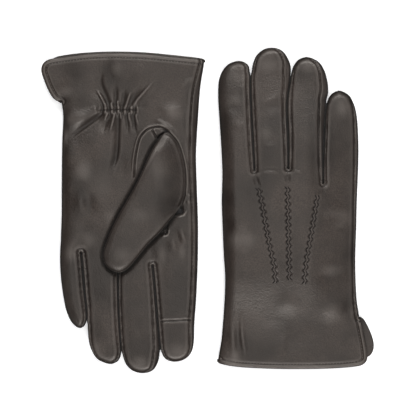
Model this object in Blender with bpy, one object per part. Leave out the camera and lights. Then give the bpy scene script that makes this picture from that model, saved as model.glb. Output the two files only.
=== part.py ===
"""A pair of lined leather gloves with a conductive index fingertip, laid flat side by side.

Both gloves share one planform, described in glove coordinates in millimetres: u runs across
the hand from the index side (negative) to the little finger's side (positive), v runs from the
cuff to the fingertips, and z is up.  The left glove lies on its back with the thumb folded
over the palm; the right glove lies on its palm with the thumb tucked underneath.

Every leather panel is a thin closed shell: an outer skin, an inner skin and a rim.  Each
finger is hinged to the hand on the palm surface, and its root face is a slanted plane through
that hinge line, so a finger opens from the hand like the cover of a book.
"""
import math

import bmesh
import bpy
from mathutils import Vector

MM = 0.001

# Walls
LEATHER = 1.0
GAP = 0.3
LINING = 0.8
LINING_DEPTH = LEATHER + 0.6
CAVITY_DEPTH = LINING_DEPTH + LINING

# Hand
HAND_HALF = 53.0
HAND_HEIGHT = 14.0
CUFF_HEIGHT = 13.5
CUFF_BOW = 5.0
ROUNDNESS = 3.2
TABLE_FLATNESS = 1.12
INDEX_SIDE = [(0, -57), (25, -53.6), (55, -51.2), (80, -50.8), (110, -52.3), (150, -53), (180, -53)]
LITTLE_SIDE_BACK = [(0, 57), (6, 59.5), (14, 60.5), (26, 58), (40, 53.6),
                    (70, 52), (95, 51.5), (130, 52.8), (180, 54)]
LITTLE_SIDE_PALM = [(0, 59), (6, 64), (15, 67), (26, 61.5), (40, 53.6),
                    (70, 52), (95, 51.5), (130, 52.8), (180, 54)]
INDEX_SEAM = 0.90
SEAM_GAP = 0.01
HAND_ROWS = [0, 10, 24, 38, 50, 62, 78, 98, 118, 140, 152]
CUFF_ROWS = 3
HEM_SETBACK = 0.6

# Fingers: hinge line on the palm side and root line on the back, as distances from the cuff
FINGER_HEIGHT = 14.0
LINING_COLUMNS = (0.93, 0.78, 0.4, -0.4, -0.78, -0.93, -1.0)
FINGER_ROWS = [0, 0.28, 0.52, 0.72, 0.86, 0.95, 1]
TIP_ROUNDING = 1.05
TIP_HALF = 0.6
TIP_FLATTENING = 0.62
ROOTS = {"index": (172, 159), "middle": (172, 159), "ring": (172, 159), "little": (160, 148)}
BACK_SEAM = 0.78
SIDE_SEAM = 0.965
OUTER_SEAM = 0.78
TOUCH_TIP_START = 208.6
FINGER_GAP = 0.8
DROOP = 45

# Thumb, in its own coordinates: x across, y along, from the foot of its centre line
THUMB_ANGLE = math.radians(32)
THUMB_FOOT = (-36.2, 93.8)
THUMB_LENGTH = 90.5
THUMB_CENTRE = 4.6
THUMB_HALF = 19.0
THUMB_ROWS = [0, 0.12, 0.3, 0.5, 0.7, 0.85, 0.95, 1]
THUMB_LINING_ROWS = [0.34, 0.5, 0.7, 0.85, 0.95]
THUMB_FOLD_X = (-15.5, 24.0)
THUMB_FOLD_Y = (20.5, -19.0)
THUMB_RISE = 0.3
THUMB_HINGE_BACK = 2.5
THUMB_MOUTH = 0.3
THUMB_HOLE = ((-42, -4), (62, 118))

# Elastic that gathers the wrist on the palm side
ELASTIC = ((-10, 27), (39.5, 45.5))
ELASTIC_THICKNESS = 0.8
ELASTIC_ROOM = 1.1
ELASTIC_CLEAR_ROW = 50

GLOVES = {
    "left": {
        "palm_up": True,
        "place": (-62.4, 123.2),
        "turn": math.pi,
        "splits": (-18.0, 10.0, 37.0),
        "lift": 0.0,
        "thumb_height": 11.0,
        # finger: (centre and full width at the root, centre and full width near the tip, tip)
        "fingers": {
            "index": ((-35.3, 34.0), (-36.8, 26.2), 241.0),
            "middle": ((-4.0, 27.4), (-8.6, 29.6), 250.3),
            "ring": ((23.0, 26.4), (19.4, 26.2), 243.0),
            "little": ((46.0, 17.4), (43.6, 18.0), 215.0),
        },
    },
    "right": {
        "palm_up": False,
        "place": (62.4, -123.2),
        "turn": 0.0,
        "splits": (-28.5, -0.5, 26.0),
        "lift": 9.3,
        "thumb_height": 8.4,
        "fingers": {
            "index": ((-40.8, 23.8), (-42.7, 26.0), 240.0),
            "middle": ((-14.5, 27.4), (-14.0, 29.4), 250.3),
            "ring": ((12.8, 26.0), (16.0, 27.0), 242.4),
            "little": ((39.8, 27.0), (41.2, 21.8), 216.2),
        },
    },
}

LEATHER_COLOUR = (0.062, 0.050, 0.044, 1)
LINING_COLOUR = (0.045, 0.038, 0.034, 1)
TOUCH_COLOUR = (0.060, 0.049, 0.044, 1)
ELASTIC_COLOUR = (0.03, 0.027, 0.025, 1)


def clear_scene():
    for obj in list(bpy.data.objects):
        bpy.data.objects.remove(obj, do_unlink=True)


def material(name, colour, roughness):
    made = bpy.data.materials.new(name)
    made.use_nodes = True
    shader = made.node_tree.nodes["Principled BSDF"]
    shader.inputs["Base Color"].default_value = colour
    shader.inputs["Roughness"].default_value = roughness
    shader.inputs["Metallic"].default_value = 0.0
    return made


def smooth(x):
    x = min(1.0, max(0.0, x))
    return x * x * (3 - 2 * x)


def through(points, at):
    """A smooth curve's value at a distance, through (distance, value) points."""
    if at <= points[0][0]:
        return points[0][1]
    for (x0, y0), (x1, y1) in zip(points, points[1:]):
        if at <= x1:
            share = (at - x0) / (x1 - x0)
            return y0 + (y1 - y0) * (smooth(share) + share) / 2
    return points[-1][1]


def arch(a):
    """Height of a rounded section at a, from 0 at its edges (a = -1 or 1) to 1 in the middle."""
    return (1 - min(1.0, abs(a)) ** ROUNDNESS) ** (1 / ROUNDNESS)


def up_share(glove, a, on_back):
    """Height share from 0 on the table to 1 at the top, with the table side pressed flat."""
    up = arch(a) if on_back != glove["palm_up"] else -arch(a)
    return 0.5 + 0.5 * max(-1.0, up * TABLE_FLATNESS if up < 0 else up)


def lift(glove, u, v):
    """How far the tucked thumb holds the hand off the table at (u, v)."""
    across = smooth((u + 68) / 28) * (1 - smooth((u - 18) / 40))
    along = smooth((v - 50) / 26)
    return glove["lift"] * across * along


# ---------------------------------------------------------------- solids from grids


def make_object(name, mesh_faces, look, parent, pivot):
    """A named object of the given points and faces, placed relative to its pivot."""
    points, faces = mesh_faces
    made = bmesh.new()
    verts = [made.verts.new((Vector(p) - pivot) * MM) for p in points]
    for face in faces:
        made.faces.new([verts[i] for i in face])
    bmesh.ops.recalc_face_normals(made, faces=made.faces)
    mesh = bpy.data.meshes.new(name)
    made.to_mesh(mesh)
    made.free()
    mesh.shade_smooth()
    mesh.set_sharp_from_angle(angle=math.radians(50))
    mesh.materials.append(look)
    obj = bpy.data.objects.new(name, mesh)
    bpy.context.scene.collection.objects.link(obj)
    obj.parent = parent
    return obj


def shell(outer, inner, ring=False, cap=False, holes=()):
    """A closed solid between two grids of points, [row][column].

    ring joins the last column to the first, cap closes the last row, and holes lists the
    (row, column) cells that are left open.
    """
    rows, cols = len(outer), len(outer[0])
    points = [p for grid in (outer, inner) for row in grid for p in row]

    def at(side, r, c):
        return side * rows * cols + r * cols + c % cols

    last = cols if ring else cols - 1
    cells = {(r, c) for r in range(rows - 1) for c in range(last)} - set(holes)
    faces = []
    for side in (0, 1):
        for r, c in sorted(cells):
            near, far = at(side, r, c), at(side, r + 1, c + 1)
            for face in ([near, at(side, r, c + 1), far], [near, far, at(side, r + 1, c)]):
                faces.append(face if side == 0 else face[::-1])
        if cap:
            faces.append([at(side, rows - 1, c) for c in range(cols)])
    used = {}
    for r, c in cells:
        corners = [(r, c), (r, (c + 1) % cols), (r + 1, (c + 1) % cols), (r + 1, c)]
        for edge in zip(corners, corners[1:] + corners[:1]):
            key = tuple(sorted(edge))
            used[key] = used.get(key, 0) + 1
    for (a, b), count in sorted(used.items()):
        if count == 1 and not (cap and a[0] == b[0] == rows - 1):
            faces.append([at(0, *a), at(0, *b), at(1, *b), at(1, *a)])
    return drop_loose(points, faces)


def drop_loose(points, faces):
    kept = sorted({i for face in faces for i in face})
    new = {old: i for i, old in enumerate(kept)}
    return [points[i] for i in kept], [[new[i] for i in face] for face in faces]


# ---------------------------------------------------------------- hand


def hand_columns(glove):
    """Positions across the hand, from the little finger's edge to the index edge.

    One lies on each side of the step between the ring and little fingers' roots.
    """
    im, mr, rl = (s / HAND_HALF for s in glove["splits"])
    hole_low, hole_high = (x / HAND_HALF for x in THUMB_HOLE[0])
    inner = {rl + 0.008, rl - 0.008, mr, im, hole_low, hole_high, 0.5 * (rl + mr)}
    if abs(im - hole_high) > 0.35:
        inner.add(0.5 * (im + hole_high))
    return sorted({0.985, 0.93, 0.5 * (0.93 + rl)} | inner, reverse=True)


def root_line(glove, a):
    """(hinge line, back root line) of the finger that leaves the hand at a."""
    u = a * HAND_HALF
    names = [name for name, split in zip(("index", "middle", "ring"), glove["splits"]) if u < split]
    return ROOTS[names[0] if names else "little"]


def hand_point(glove, a, on_back, row, depth):
    """A point of the hand's skin: row counts HAND_ROWS, and the row after them is the finger roots."""
    share = up_share(glove, a, on_back)
    from_palm = 1 - share if glove["palm_up"] else share
    hinge, back = root_line(glove, a)
    inset = depth * (2 * from_palm - 1)
    end = hinge + (back - hinge) * (from_palm - inset / HAND_HEIGHT) - GAP / 2
    bow = CUFF_BOW * a * a
    if row >= len(HAND_ROWS):
        v = end
    else:
        v = bow * (1 - HAND_ROWS[row] / HAND_ROWS[-1]) + HAND_ROWS[row]
        v = min(v, end - 3)
    low = through(INDEX_SIDE, v)
    high = through(LITTLE_SIDE_BACK if on_back else LITTLE_SIDE_PALM, v)
    half = (high - low) / 2
    u = (high + low) / 2 + a * (half - depth)
    height = CUFF_HEIGHT + (HAND_HEIGHT - CUFF_HEIGHT) * smooth(v / 60)
    z = lift(glove, u, v) + depth + (height - 2 * depth) * share
    return (u, v, z)


def hand_grid(glove, columns, rows, depth):
    """A grid of the hand's skin at a depth, which is a number or a function of the row."""
    pick = depth if callable(depth) else lambda row: depth
    return [[hand_point(glove, a, on_back, row, pick(row)) for a, on_back in columns] for row in rows]


def hand_parts(glove, add):
    inner = hand_columns(glove)
    rows = range(len(HAND_ROWS) + 1)
    back = [(a, True) for a in (0.9995, *inner, -0.93, -0.985, -1.0)]
    back += [(-0.985, False), (-0.94, False), (-INDEX_SEAM - SEAM_GAP / 2, False)]
    palm = [(-INDEX_SEAM + SEAM_GAP / 2, False)] + [(a, False) for a in reversed(inner)] + [(1.0, False)]
    skins = [hand_grid(glove, back, rows, depth) for depth in (0, LEATHER)]
    add("back_panel", shell(*skins), "leather")

    hole = [
        (r, c)
        for r in range(len(HAND_ROWS) - 1)
        for c in range(len(palm) - 1)
        if THUMB_HOLE[1][0] <= HAND_ROWS[r] < THUMB_HOLE[1][1] and in_hole(palm[c][0], palm[c + 1][0])
    ]
    skins = [hand_grid(glove, palm, rows, depth) for depth in (0, LEATHER)]
    add("palm_panel", shell(*skins, holes=hole), "leather")
    cuff_facing(glove, add)
    hand_lining(glove, inner, add)


def cuff_facing(glove, add):
    """The leather facing inside the cuff, set back from the hem and open at the vent."""
    columns = [(a, True) for a in (0.97, 0.8, 0.4, 0, -0.4, -0.8, -1.0)]
    columns += [(a, False) for a in (-0.8, -0.4, 0, 0.4, 0.8, 0.97)]
    skins = []
    for depth in (LINING_DEPTH + ELASTIC_ROOM, CAVITY_DEPTH + ELASTIC_ROOM):
        grid = hand_grid(glove, columns, range(CUFF_ROWS + 1), depth)
        grid[0] = [(u, v + HEM_SETBACK, z) for u, v, z in grid[0]]
        grid[-1] = [(u, v - GAP, z) for u, v, z in grid[-1]]
        skins.append(grid)
    add("cuff_facing", shell(*skins), "leather")


def hand_lining(glove, inner, add):
    """The cloth lining from the facing to the finger roots, open at the thumb hole."""

    ring = [(a, True) for a in (*inner[1:], -0.93)] + [(-1.0, True)]
    ring += [(-0.94, False)] + [(a, False) for a in reversed(inner[1:])] + [(1.0, False)]
    lining_rows = list(range(CUFF_ROWS, len(HAND_ROWS) + 1))

    def lining_depth(row):
        beside_elastic = row < len(HAND_ROWS) and HAND_ROWS[row] <= ELASTIC_CLEAR_ROW
        return LINING_DEPTH + (ELASTIC_ROOM if beside_elastic else 0)

    hole = [
        (r, c)
        for r, row in enumerate(lining_rows[:-1])
        for c in range(len(ring) - 1)
        if row < len(HAND_ROWS) - 1 and THUMB_HOLE[1][0] <= HAND_ROWS[row] < THUMB_HOLE[1][1]
        and not ring[c][1] and not ring[c + 1][1] and in_hole(ring[c][0], ring[c + 1][0])
    ]
    outer = hand_grid(glove, ring, lining_rows, lining_depth)
    inside = hand_grid(glove, ring, lining_rows, lambda row: lining_depth(row) + LINING)
    add("hand_lining", shell(outer, inside, ring=True, holes=hole), "lining")


def in_hole(a, b):
    low, high = (x / HAND_HALF for x in THUMB_HOLE[0])
    return low - 1e-6 <= min(a, b) and max(a, b) <= high + 1e-6


def palm_height(glove, u, v, depth):
    """Height of the palm's skin in the flat middle of the hand, at a depth below its outside."""
    if glove["palm_up"]:
        return CUFF_HEIGHT + (HAND_HEIGHT - CUFF_HEIGHT) * smooth(v / 60) - depth
    return lift(glove, u, v) + depth


def strip(glove, us, vs, depth, thickness):
    """A thin plate that follows the palm's inside over a rectangle of (u, v)."""
    skins = [
        [[(u, v, palm_height(glove, u, v, d)) for u in us] for v in vs]
        for d in (depth, depth + thickness)
    ]
    return shell(*skins)


def wrist_elastic(glove, add):
    (u0, u1), (v0, v1) = ELASTIC
    us = [u0 + (u1 - u0) * i / 4 for i in range(5)]
    add("wrist_elastic", strip(glove, us, [v0, v1], LEATHER + 0.35, ELASTIC_THICKNESS), "elastic")


def thumb_gusset(glove, add):
    """The crescent of thumb leather that closes the thumb hole beside the folded thumb."""
    (u0, u1), (v0, v1) = THUMB_HOLE
    edge = [(u1 - 1, v0 + 42), (u1 - 1, v0 + 28), (u1 - 1, v0 + 14), (u1 - 1, v0 + 4)]
    fold = [(u1 - 3, v0 + 42), (u1 - 11, v0 + 28), (u1 - 17, v0 + 14), (u1 - 19, v0 + 4)]
    grids = [
        [[(u, v, palm_height(glove, u, v, depth)) for u, v in line] for line in (edge, fold)]
        for depth in (0.0, LEATHER)
    ]
    add("thumb_gusset", shell(*grids), "leather")


# ---------------------------------------------------------------- fingers


def finger_point(glove, name, a, on_back, t, depth):
    """A point of a finger's skin: t runs from the slanted root face to the tip."""
    (c0, w0), (c1, w1), tip = glove["fingers"][name]
    hinge, back = ROOTS[name]
    share = up_share(glove, a, on_back)
    from_palm = 1 - share if glove["palm_up"] else share
    inset = depth * (2 * from_palm - 1)
    start = hinge + (back - hinge) * (from_palm - inset / FINGER_HEIGHT) + GAP / 2
    end = tip - depth
    v = start + (end - start) * t
    along = smooth((v - hinge) / (tip - 18 - hinge))
    half = (w0 + (w1 - w0) * along) / 2 - FINGER_GAP / 2
    nose = half * TIP_ROUNDING
    x = min(1.0, max(0.0, (v - (tip - nose)) / (nose - depth)))
    half = max(TIP_HALF, (half - depth) * math.sqrt(max(0.0, 1 - x * x)))
    height = FINGER_HEIGHT * (1 - TIP_FLATTENING * x ** 2.5)
    thick = max(0.8, height - 2 * depth)
    u = c0 + (c1 - c0) * along + a * half
    full_v = start + (tip - start) * t
    droop = lift(glove, u, min(full_v, hinge)) * (1 - smooth((full_v - hinge) / DROOP))
    bottom = droop + depth + (FINGER_HEIGHT - height) * 0.25
    return (u, v, bottom + thick * share)


def finger_grid(glove, name, columns, ts, depth):
    return [[finger_point(glove, name, a, on_back, t, depth) for a, on_back in columns] for t in ts]


def finger_panel(glove, name, columns, ts, skin=(0.0, LEATHER)):
    return shell(*(finger_grid(glove, name, columns, ts, depth) for depth in skin))


def share_at(glove, name, v):
    hinge = ROOTS[name][0]
    return (v - hinge) / (glove["fingers"][name][2] - hinge)


def finger_parts(glove, name, add):
    back = [(BACK_SEAM - SEAM_GAP, True), (0.4, True), (0, True), (-0.4, True), (-0.78, True),
            (-SIDE_SEAM + SEAM_GAP, True)]
    palm = [(-BACK_SEAM + SEAM_GAP, False), (-0.4, False), (0, False), (0.4, False), (0.78, False),
            (SIDE_SEAM - SEAM_GAP, False)]
    toward_little = [(BACK_SEAM + SEAM_GAP, True), (0.93, True), (1.0, True),
                     (SIDE_SEAM + SEAM_GAP / 2, False)]
    toward_index = [(-SIDE_SEAM - SEAM_GAP / 2, True), (-1.0, True), (-0.93, False),
                    (-BACK_SEAM - SEAM_GAP, False)]
    if name == "index":
        back = back[:-1] + [(-0.93, True), (-1.0, True), (-0.93, False), (-OUTER_SEAM - SEAM_GAP, False)]
        palm = [(-OUTER_SEAM + SEAM_GAP, False)] + palm[1:]
    if name == "little":
        palm = palm[:-1] + [(0.93, False), (1.0, False), (0.93, True), (OUTER_SEAM + SEAM_GAP, True)]
        back = [(OUTER_SEAM - SEAM_GAP, True)] + back[1:]
    add(name + "_back", finger_panel(glove, name, back, FINGER_ROWS), "leather")
    if name == "index":
        cut = share_at(glove, name, TOUCH_TIP_START)
        before = [t for t in FINGER_ROWS if t < cut - 0.05] + [cut - 0.004]
        after = [cut + 0.004] + [t for t in FINGER_ROWS if t > cut + 0.05]
        add("index_palm", finger_panel(glove, name, palm, before), "leather")
        add("index_touch_tip", finger_panel(glove, name, palm, after), "touch")
    else:
        add(name + "_palm", finger_panel(glove, name, palm, FINGER_ROWS), "leather")
    if name != "little":
        add(name + "_fourchette_outer", finger_panel(glove, name, toward_little, FINGER_ROWS), "leather")
    if name != "index":
        add(name + "_fourchette_inner", finger_panel(glove, name, toward_index, FINGER_ROWS), "leather")
    ring = [(a, True) for a in LINING_COLUMNS] + [(-a, False) for a in LINING_COLUMNS]
    skins = [finger_grid(glove, name, ring, FINGER_ROWS[:-1], d) for d in (LINING_DEPTH, CAVITY_DEPTH)]
    add(name + "_lining", shell(*skins, ring=True, cap=True), "lining")


# ---------------------------------------------------------------- thumb


def thumb_to_glove(x, y):
    s, c = math.sin(THUMB_ANGLE), math.cos(THUMB_ANGLE)
    return THUMB_FOOT[0] + x * c + y * s, THUMB_FOOT[1] - x * s + y * c


def thumb_point(glove, a, on_top, t, depth):
    """A point of the folded thumb: on_top is the side away from the palm."""
    height = glove["thumb_height"]
    end = THUMB_LENGTH - depth
    lean = THUMB_CENTRE + a * (THUMB_HALF - depth)
    share_across = (lean - THUMB_FOLD_X[0]) / (THUMB_FOLD_X[1] - THUMB_FOLD_X[0])
    start = THUMB_FOLD_Y[0] + (THUMB_FOLD_Y[1] - THUMB_FOLD_Y[0]) * share_across + depth
    y = start + (end - start) * t
    half = THUMB_HALF - 3.0 * smooth((y - 35) / 40)
    nose = half * 1.3
    x_tip = min(1.0, max(0.0, (y - (THUMB_LENGTH - nose)) / (nose - depth)))
    half = max(TIP_HALF, (half - depth) * math.sqrt(max(0.0, 1 - x_tip * x_tip)))
    rise = THUMB_RISE + (1 - THUMB_RISE) * smooth((y - start + depth) / 18)
    full = height * rise * (1 - 0.5 * x_tip ** 2.5)
    thick = max(0.5, full - 2 * depth)
    up = arch(a) if on_top else -arch(a)
    share = 0.5 + 0.5 * max(-1.0, up * TABLE_FLATNESS if up < 0 else up)
    u, v = thumb_to_glove(THUMB_CENTRE + a * half, y)
    from_palm = GAP + depth + thick * share
    if glove["palm_up"]:
        z = HAND_HEIGHT + from_palm
    else:
        z = max(0.0, height - from_palm + GAP)
    return (u, v, z)


def thumb_parts(glove, add):
    top = [(a, True) for a in (0.97, 0.8, 0.4, 0, -0.4, -0.8, -0.97)]
    under = [(a, False) for a in (-0.985, -0.8, -0.4, 0, 0.4, 0.8, 0.985)]
    low_rows = [THUMB_MOUTH] + [t for t in THUMB_ROWS if t > THUMB_MOUTH + 0.05]

    def grids(columns, ts, depths):
        return [[[thumb_point(glove, a, s, t, d) for a, s in columns] for t in ts] for d in depths]

    add("thumb_outer", shell(*grids(top, THUMB_ROWS, (0, LEATHER))), "leather")
    add("thumb_inner", shell(*grids(under, low_rows, (0, LEATHER))), "leather")
    ring = [(a, True) for a in (0.9, 0.4, 0, -0.4, -0.9)]
    ring += [(a, False) for a in (-0.9, -0.4, 0, 0.4, 0.9)]
    skins = grids(ring, THUMB_LINING_ROWS, (LINING_DEPTH, CAVITY_DEPTH))
    add("thumb_lining", shell(*skins, ring=True, cap=True), "lining")


def thumb_hinge(glove):
    """The middle of the thumb's hinge line, which lies beside its fold line, on the palm's surface."""
    near = Vector(thumb_to_glove(THUMB_FOLD_X[0], THUMB_FOLD_Y[0]))
    far = Vector(thumb_to_glove(THUMB_FOLD_X[1], THUMB_FOLD_Y[1]))
    line = (near - far).normalized()
    middle = (near + far) / 2 + THUMB_HINGE_BACK * Vector((-line.y, line.x))
    height = HAND_HEIGHT if glove["palm_up"] else glove["thumb_height"] + GAP
    return Vector((middle.x, middle.y, height))


def finger_hinge(glove, name):
    """The middle of a finger's hinge line, level with the lowest point of its palm side."""
    hinge = ROOTS[name][0]
    centre, width = glove["fingers"][name][0]
    lowest = min(lift(glove, u, hinge) for u in (centre - width / 2, centre, centre + width / 2))
    height = FINGER_HEIGHT if glove["palm_up"] else lowest
    return Vector((centre, hinge, height))


# ---------------------------------------------------------------- assembly


def empty(name, parent, location):
    made = bpy.data.objects.new(name, None)
    bpy.context.scene.collection.objects.link(made)
    made.parent = parent
    made.location = location
    return made


def build_glove(side, glove, looks):
    base = empty(side + "_glove", None, Vector((*glove["place"], 0)) * MM)
    base.rotation_euler = (0, 0, glove["turn"])

    def adder(parent, pivot):
        """A function that adds one piece of this glove to a parent."""
        def add(name, mesh_faces, look):
            make_object(f"{side}_{name}", mesh_faces, looks[look], parent, pivot)

        return add

    on_hand = adder(base, Vector((0, 0, 0)))
    hand_parts(glove, on_hand)
    wrist_elastic(glove, on_hand)
    thumb_gusset(glove, on_hand)
    for name in ROOTS:
        pivot = finger_hinge(glove, name)
        finger_parts(glove, name, adder(empty(f"{side}_{name}_hinge", base, pivot * MM), pivot))
    pivot = thumb_hinge(glove)
    thumb_parts(glove, adder(empty(f"{side}_thumb_hinge", base, pivot * MM), pivot))


def main():
    clear_scene()
    looks = {
        "leather": material("leather", LEATHER_COLOUR, 0.45),
        "lining": material("lining", LINING_COLOUR, 0.95),
        "touch": material("touch_leather", TOUCH_COLOUR, 0.42),
        "elastic": material("elastic", ELASTIC_COLOUR, 0.9),
    }
    for side, glove in GLOVES.items():
        build_glove(side, glove, looks)


main()
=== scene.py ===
"""The looks of a pair of lined leather gloves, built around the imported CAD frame.

Each glove is made of two leather layers, palm and back, in the same glove coordinates as the
CAD (millimetres; u across the hand from the index side to the little finger's side, v from the
cuff to the fingertips).  Both layers share one outline, where they meet at half height.  Every
layer is a fine grid whose height follows from its distance to that outline, with the seams,
gathers and creases pressed into it, and it is then cut along its seams into the real panels.
"""
import math

import bpy
import numpy as np
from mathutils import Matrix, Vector, kdtree


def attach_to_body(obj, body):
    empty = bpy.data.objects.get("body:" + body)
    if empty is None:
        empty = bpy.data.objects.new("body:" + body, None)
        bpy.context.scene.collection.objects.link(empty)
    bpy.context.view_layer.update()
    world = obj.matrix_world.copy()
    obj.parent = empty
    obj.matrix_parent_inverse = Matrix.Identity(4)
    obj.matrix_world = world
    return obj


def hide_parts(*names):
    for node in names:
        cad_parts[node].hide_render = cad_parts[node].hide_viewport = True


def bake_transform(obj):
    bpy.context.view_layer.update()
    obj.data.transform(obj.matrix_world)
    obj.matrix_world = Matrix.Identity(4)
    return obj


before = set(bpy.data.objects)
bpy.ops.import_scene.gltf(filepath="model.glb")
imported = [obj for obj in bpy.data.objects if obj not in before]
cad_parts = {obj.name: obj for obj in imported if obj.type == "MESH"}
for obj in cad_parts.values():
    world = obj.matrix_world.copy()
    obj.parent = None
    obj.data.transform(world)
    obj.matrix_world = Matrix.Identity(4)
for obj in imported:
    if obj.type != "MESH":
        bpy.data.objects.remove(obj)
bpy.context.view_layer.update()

MM = 0.001
# Grid steps of leather that is seen, of leather underneath and of the insides, and the step of a drawn path
FINE, COARSE = ((0.5, 1.0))
INNER_STEP = 3.0
PATH_STEP = 0.25

# Where the CAD puts each glove: the origin of its glove coordinates, and whether the palm is up
PLACES = {"left": ((-62.4, 123.2), True), "right": ((62.4, -123.2), False)}

FINGERS = ("index", "middle", "ring", "little")
# The outline's runs at the glove's two sides, and those between the fingers with their side walls
SIDES = ("index_out", "little_out")
WALLS = (("index_in", "outer"), ("middle_in", "inner"), ("middle_out", "outer"), ("ring_in", "inner"),
         ("ring_out", "outer"), ("little_in", "inner"))
# The touch tip's seam: its v at this u, and its slope
TOUCH_SEAM, TOUCH_U, TOUCH_SLOPE = 209.4, -38, 0.05
FACING_TOP = 38.0

# Thickness of the flat glove at the cuff and over the hand, and how much less it is at the tips
CUFF_THICK, HAND_THICK, TIP_THINNER = 9.5, 13.2, 1.2
# The share of the thickness that lies below the outline, where the two layers meet
EDGE_SHARE = 0.42
# How far the tucked thumb lifts the right hand, with the start and length of each rise and fall in u and v
THUMB_LIFT = 8.6
LIFT_U, LIFT_V = ((-66, 26), (12, 42)), ((4, 92), (150, 85))

# A face rolls up within a reach of its edge: at a side, in a slit, beside a side wall and round a tip
SIDE_REACH, SLIT_REACH, STRIP_REACH, TIP_REACH = 10.4, 1.1, 3.6, 9.0
REACH_PER_INSET = 0.55
TIP_LENGTH, TIP_EASE = 14, 12
REACH_BLUR = 6
# The roll's shape, and how it grows rounder where the seam lies further in
SQUARENESS, EASE_OUT = 2.3, 0.9
ROUNDER, ROUND_FROM, ROUND_RANGE = 0.25, 2.5, 4
# A slight dome inside the roll: how far it reaches, and its share of the rise
DOME, DOME_SHARE = 14.0, 0.5
SLIT_HALF, SLIT_EASE = -0.04, 5
# A step for the slope of a profile
SMALL = 0.01

# Ridges (above 0) and grooves (below 0) along a seam: height, place across the seam and width
GROOVE, SHOULDER, WELT = (-0.95, 0, 0.46), (0.25, 2.4, 1.7), (1, -1.2, 0.75)
SIDE_WELT, SLIT_WELT = 0.6, 0.75
PUCKER, PUCKER_PITCH = 0.2, 2.8
HEM = 2.9
HEM_PROFILE = ((-0.75, HEM, 0.5), (0.45, 1.3, 1.1))
TOUCH_PROFILE = ((-0.9, 0.7, 0.6), (0.6, -0.5, 0.6))
THUMB_SEAM_PROFILE = (0.3, 2.2, 1.2)
# Detail fades out towards the outline within these distances, and lies this much below the plain face
DETAIL_FADE, SEAM_FADE, DETAIL_SINK = 5, 0.8, 0.1
# How much of the pressed detail shows on a face that lies underneath
UNDER_SHARE = 0.75

# The leather's thickness, how far within the outline the inside lies, and the slack in the upper layer
FOLD, WALL, PLAY = 0.9, 1.6, 1.8
RIM_STEPS = 9

# The wrist elastic: its ends in u, its v, its section, its depth below the face, and its shirring
ELASTIC_U, ELASTIC_V, ELASTIC_STEPS = (25.5, -10.5), 45.5, 73
ELASTIC_RING = ((-2.6, 0), (2.6, 0), (2.6, -0.5), (-2.6, -0.5), (-2.6, 0))
ELASTIC_DEPTH, SHIRR, SHIRR_TURN = 2.9, 0.18, 2.5

# Rows of grid points crowd towards an edge within a zone, by a power
SKIN_CROWD, THUMB_CROWD = (5.0, 1.5), (4.0, 1.4)
# The most curvature that counts, its gain, and where the ridges' wear and painted highlight start beside an
# edge and beside the thumb
MOST_CURVED, RELIEF_GAIN = 2.5, 1.5
EDGE_WEAR_AND_HIGHLIGHT, THUMB_WEAR_AND_HIGHLIGHT = (0.6, 1.4), (2.5, 3)

# Threads: pitch and length of the stitches, and radius.  Points have two rows, left and right
HEM_STITCH, HEM_THREAD = (2.4, 1.3), 0.36
GATHER_STITCH, GATHER_THREAD = (2.6, 1.8), 0.25
POINT_THREADS = (0.52, 0.42)
THREAD_SIDES, THREAD_STEPS = 6, 5
THREAD_RISE, THREAD_SINK = 0.3, 0.16

# Colours of each material, light and dark, and of worn leather, which on ridges also stands for painted
# highlight
NAPPA = (0.037, 0.0272, 0.0226, 1), (0.0095, 0.0065, 0.0053, 1)
TOUCH_NAPPA = (0.035, 0.0262, 0.022, 1), (0.0115, 0.008, 0.0067, 1)
LINING_KNIT = (0.035, 0.031, 0.03, 1), (0.02, 0.018, 0.018, 1)
ELASTIC_RIBBON = (0.05, 0.045, 0.043, 1), (0.03, 0.027, 0.026, 1)
PALE_SEWING = (0.13, 0.108, 0.095, 1), (0.05, 0.038, 0.033, 1)
DARK_SEWING = (0.01, 0.007, 0.006, 1), (0.005, 0.0033, 0.003, 1)
WORN_AND_HIGHLIGHT = (0.1, 0.086, 0.077, 1)
# How dark the painted shade in grooves, seams and slits is, as a share of the dark colour
GROOVE_SHADE_DARKNESS = 0.2
WHITE = (1, 1, 1, 1)

# The camera, the room and the lights: name, place, size and watts.  All look at the origin
CAMERA_AT, LENS, SENSOR = (0, 1.17 * MM, 1.51), 166, 36
ROOM, ROOM_SIDES, FLOOR_Z = 4.0, 48, -0.0004
WORLD_LIGHT = 0.045
AIM = Vector((0, 0, 0))
LIGHTS = (("head_light", (0.1, 1.45, 1.4), (1.4, 0.8), 32), ("foot_light", (0.1, -1.5, 1.35), (1.4, 0.8), 32),
          ("right_light", (1.5, 0, 1.4), (0.6, 1.4), 4), ("overhead", (0.12, 0, 1.9), (1.05, 1.3), 9))


# ---------------------------------------------------------------- outlines

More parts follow.
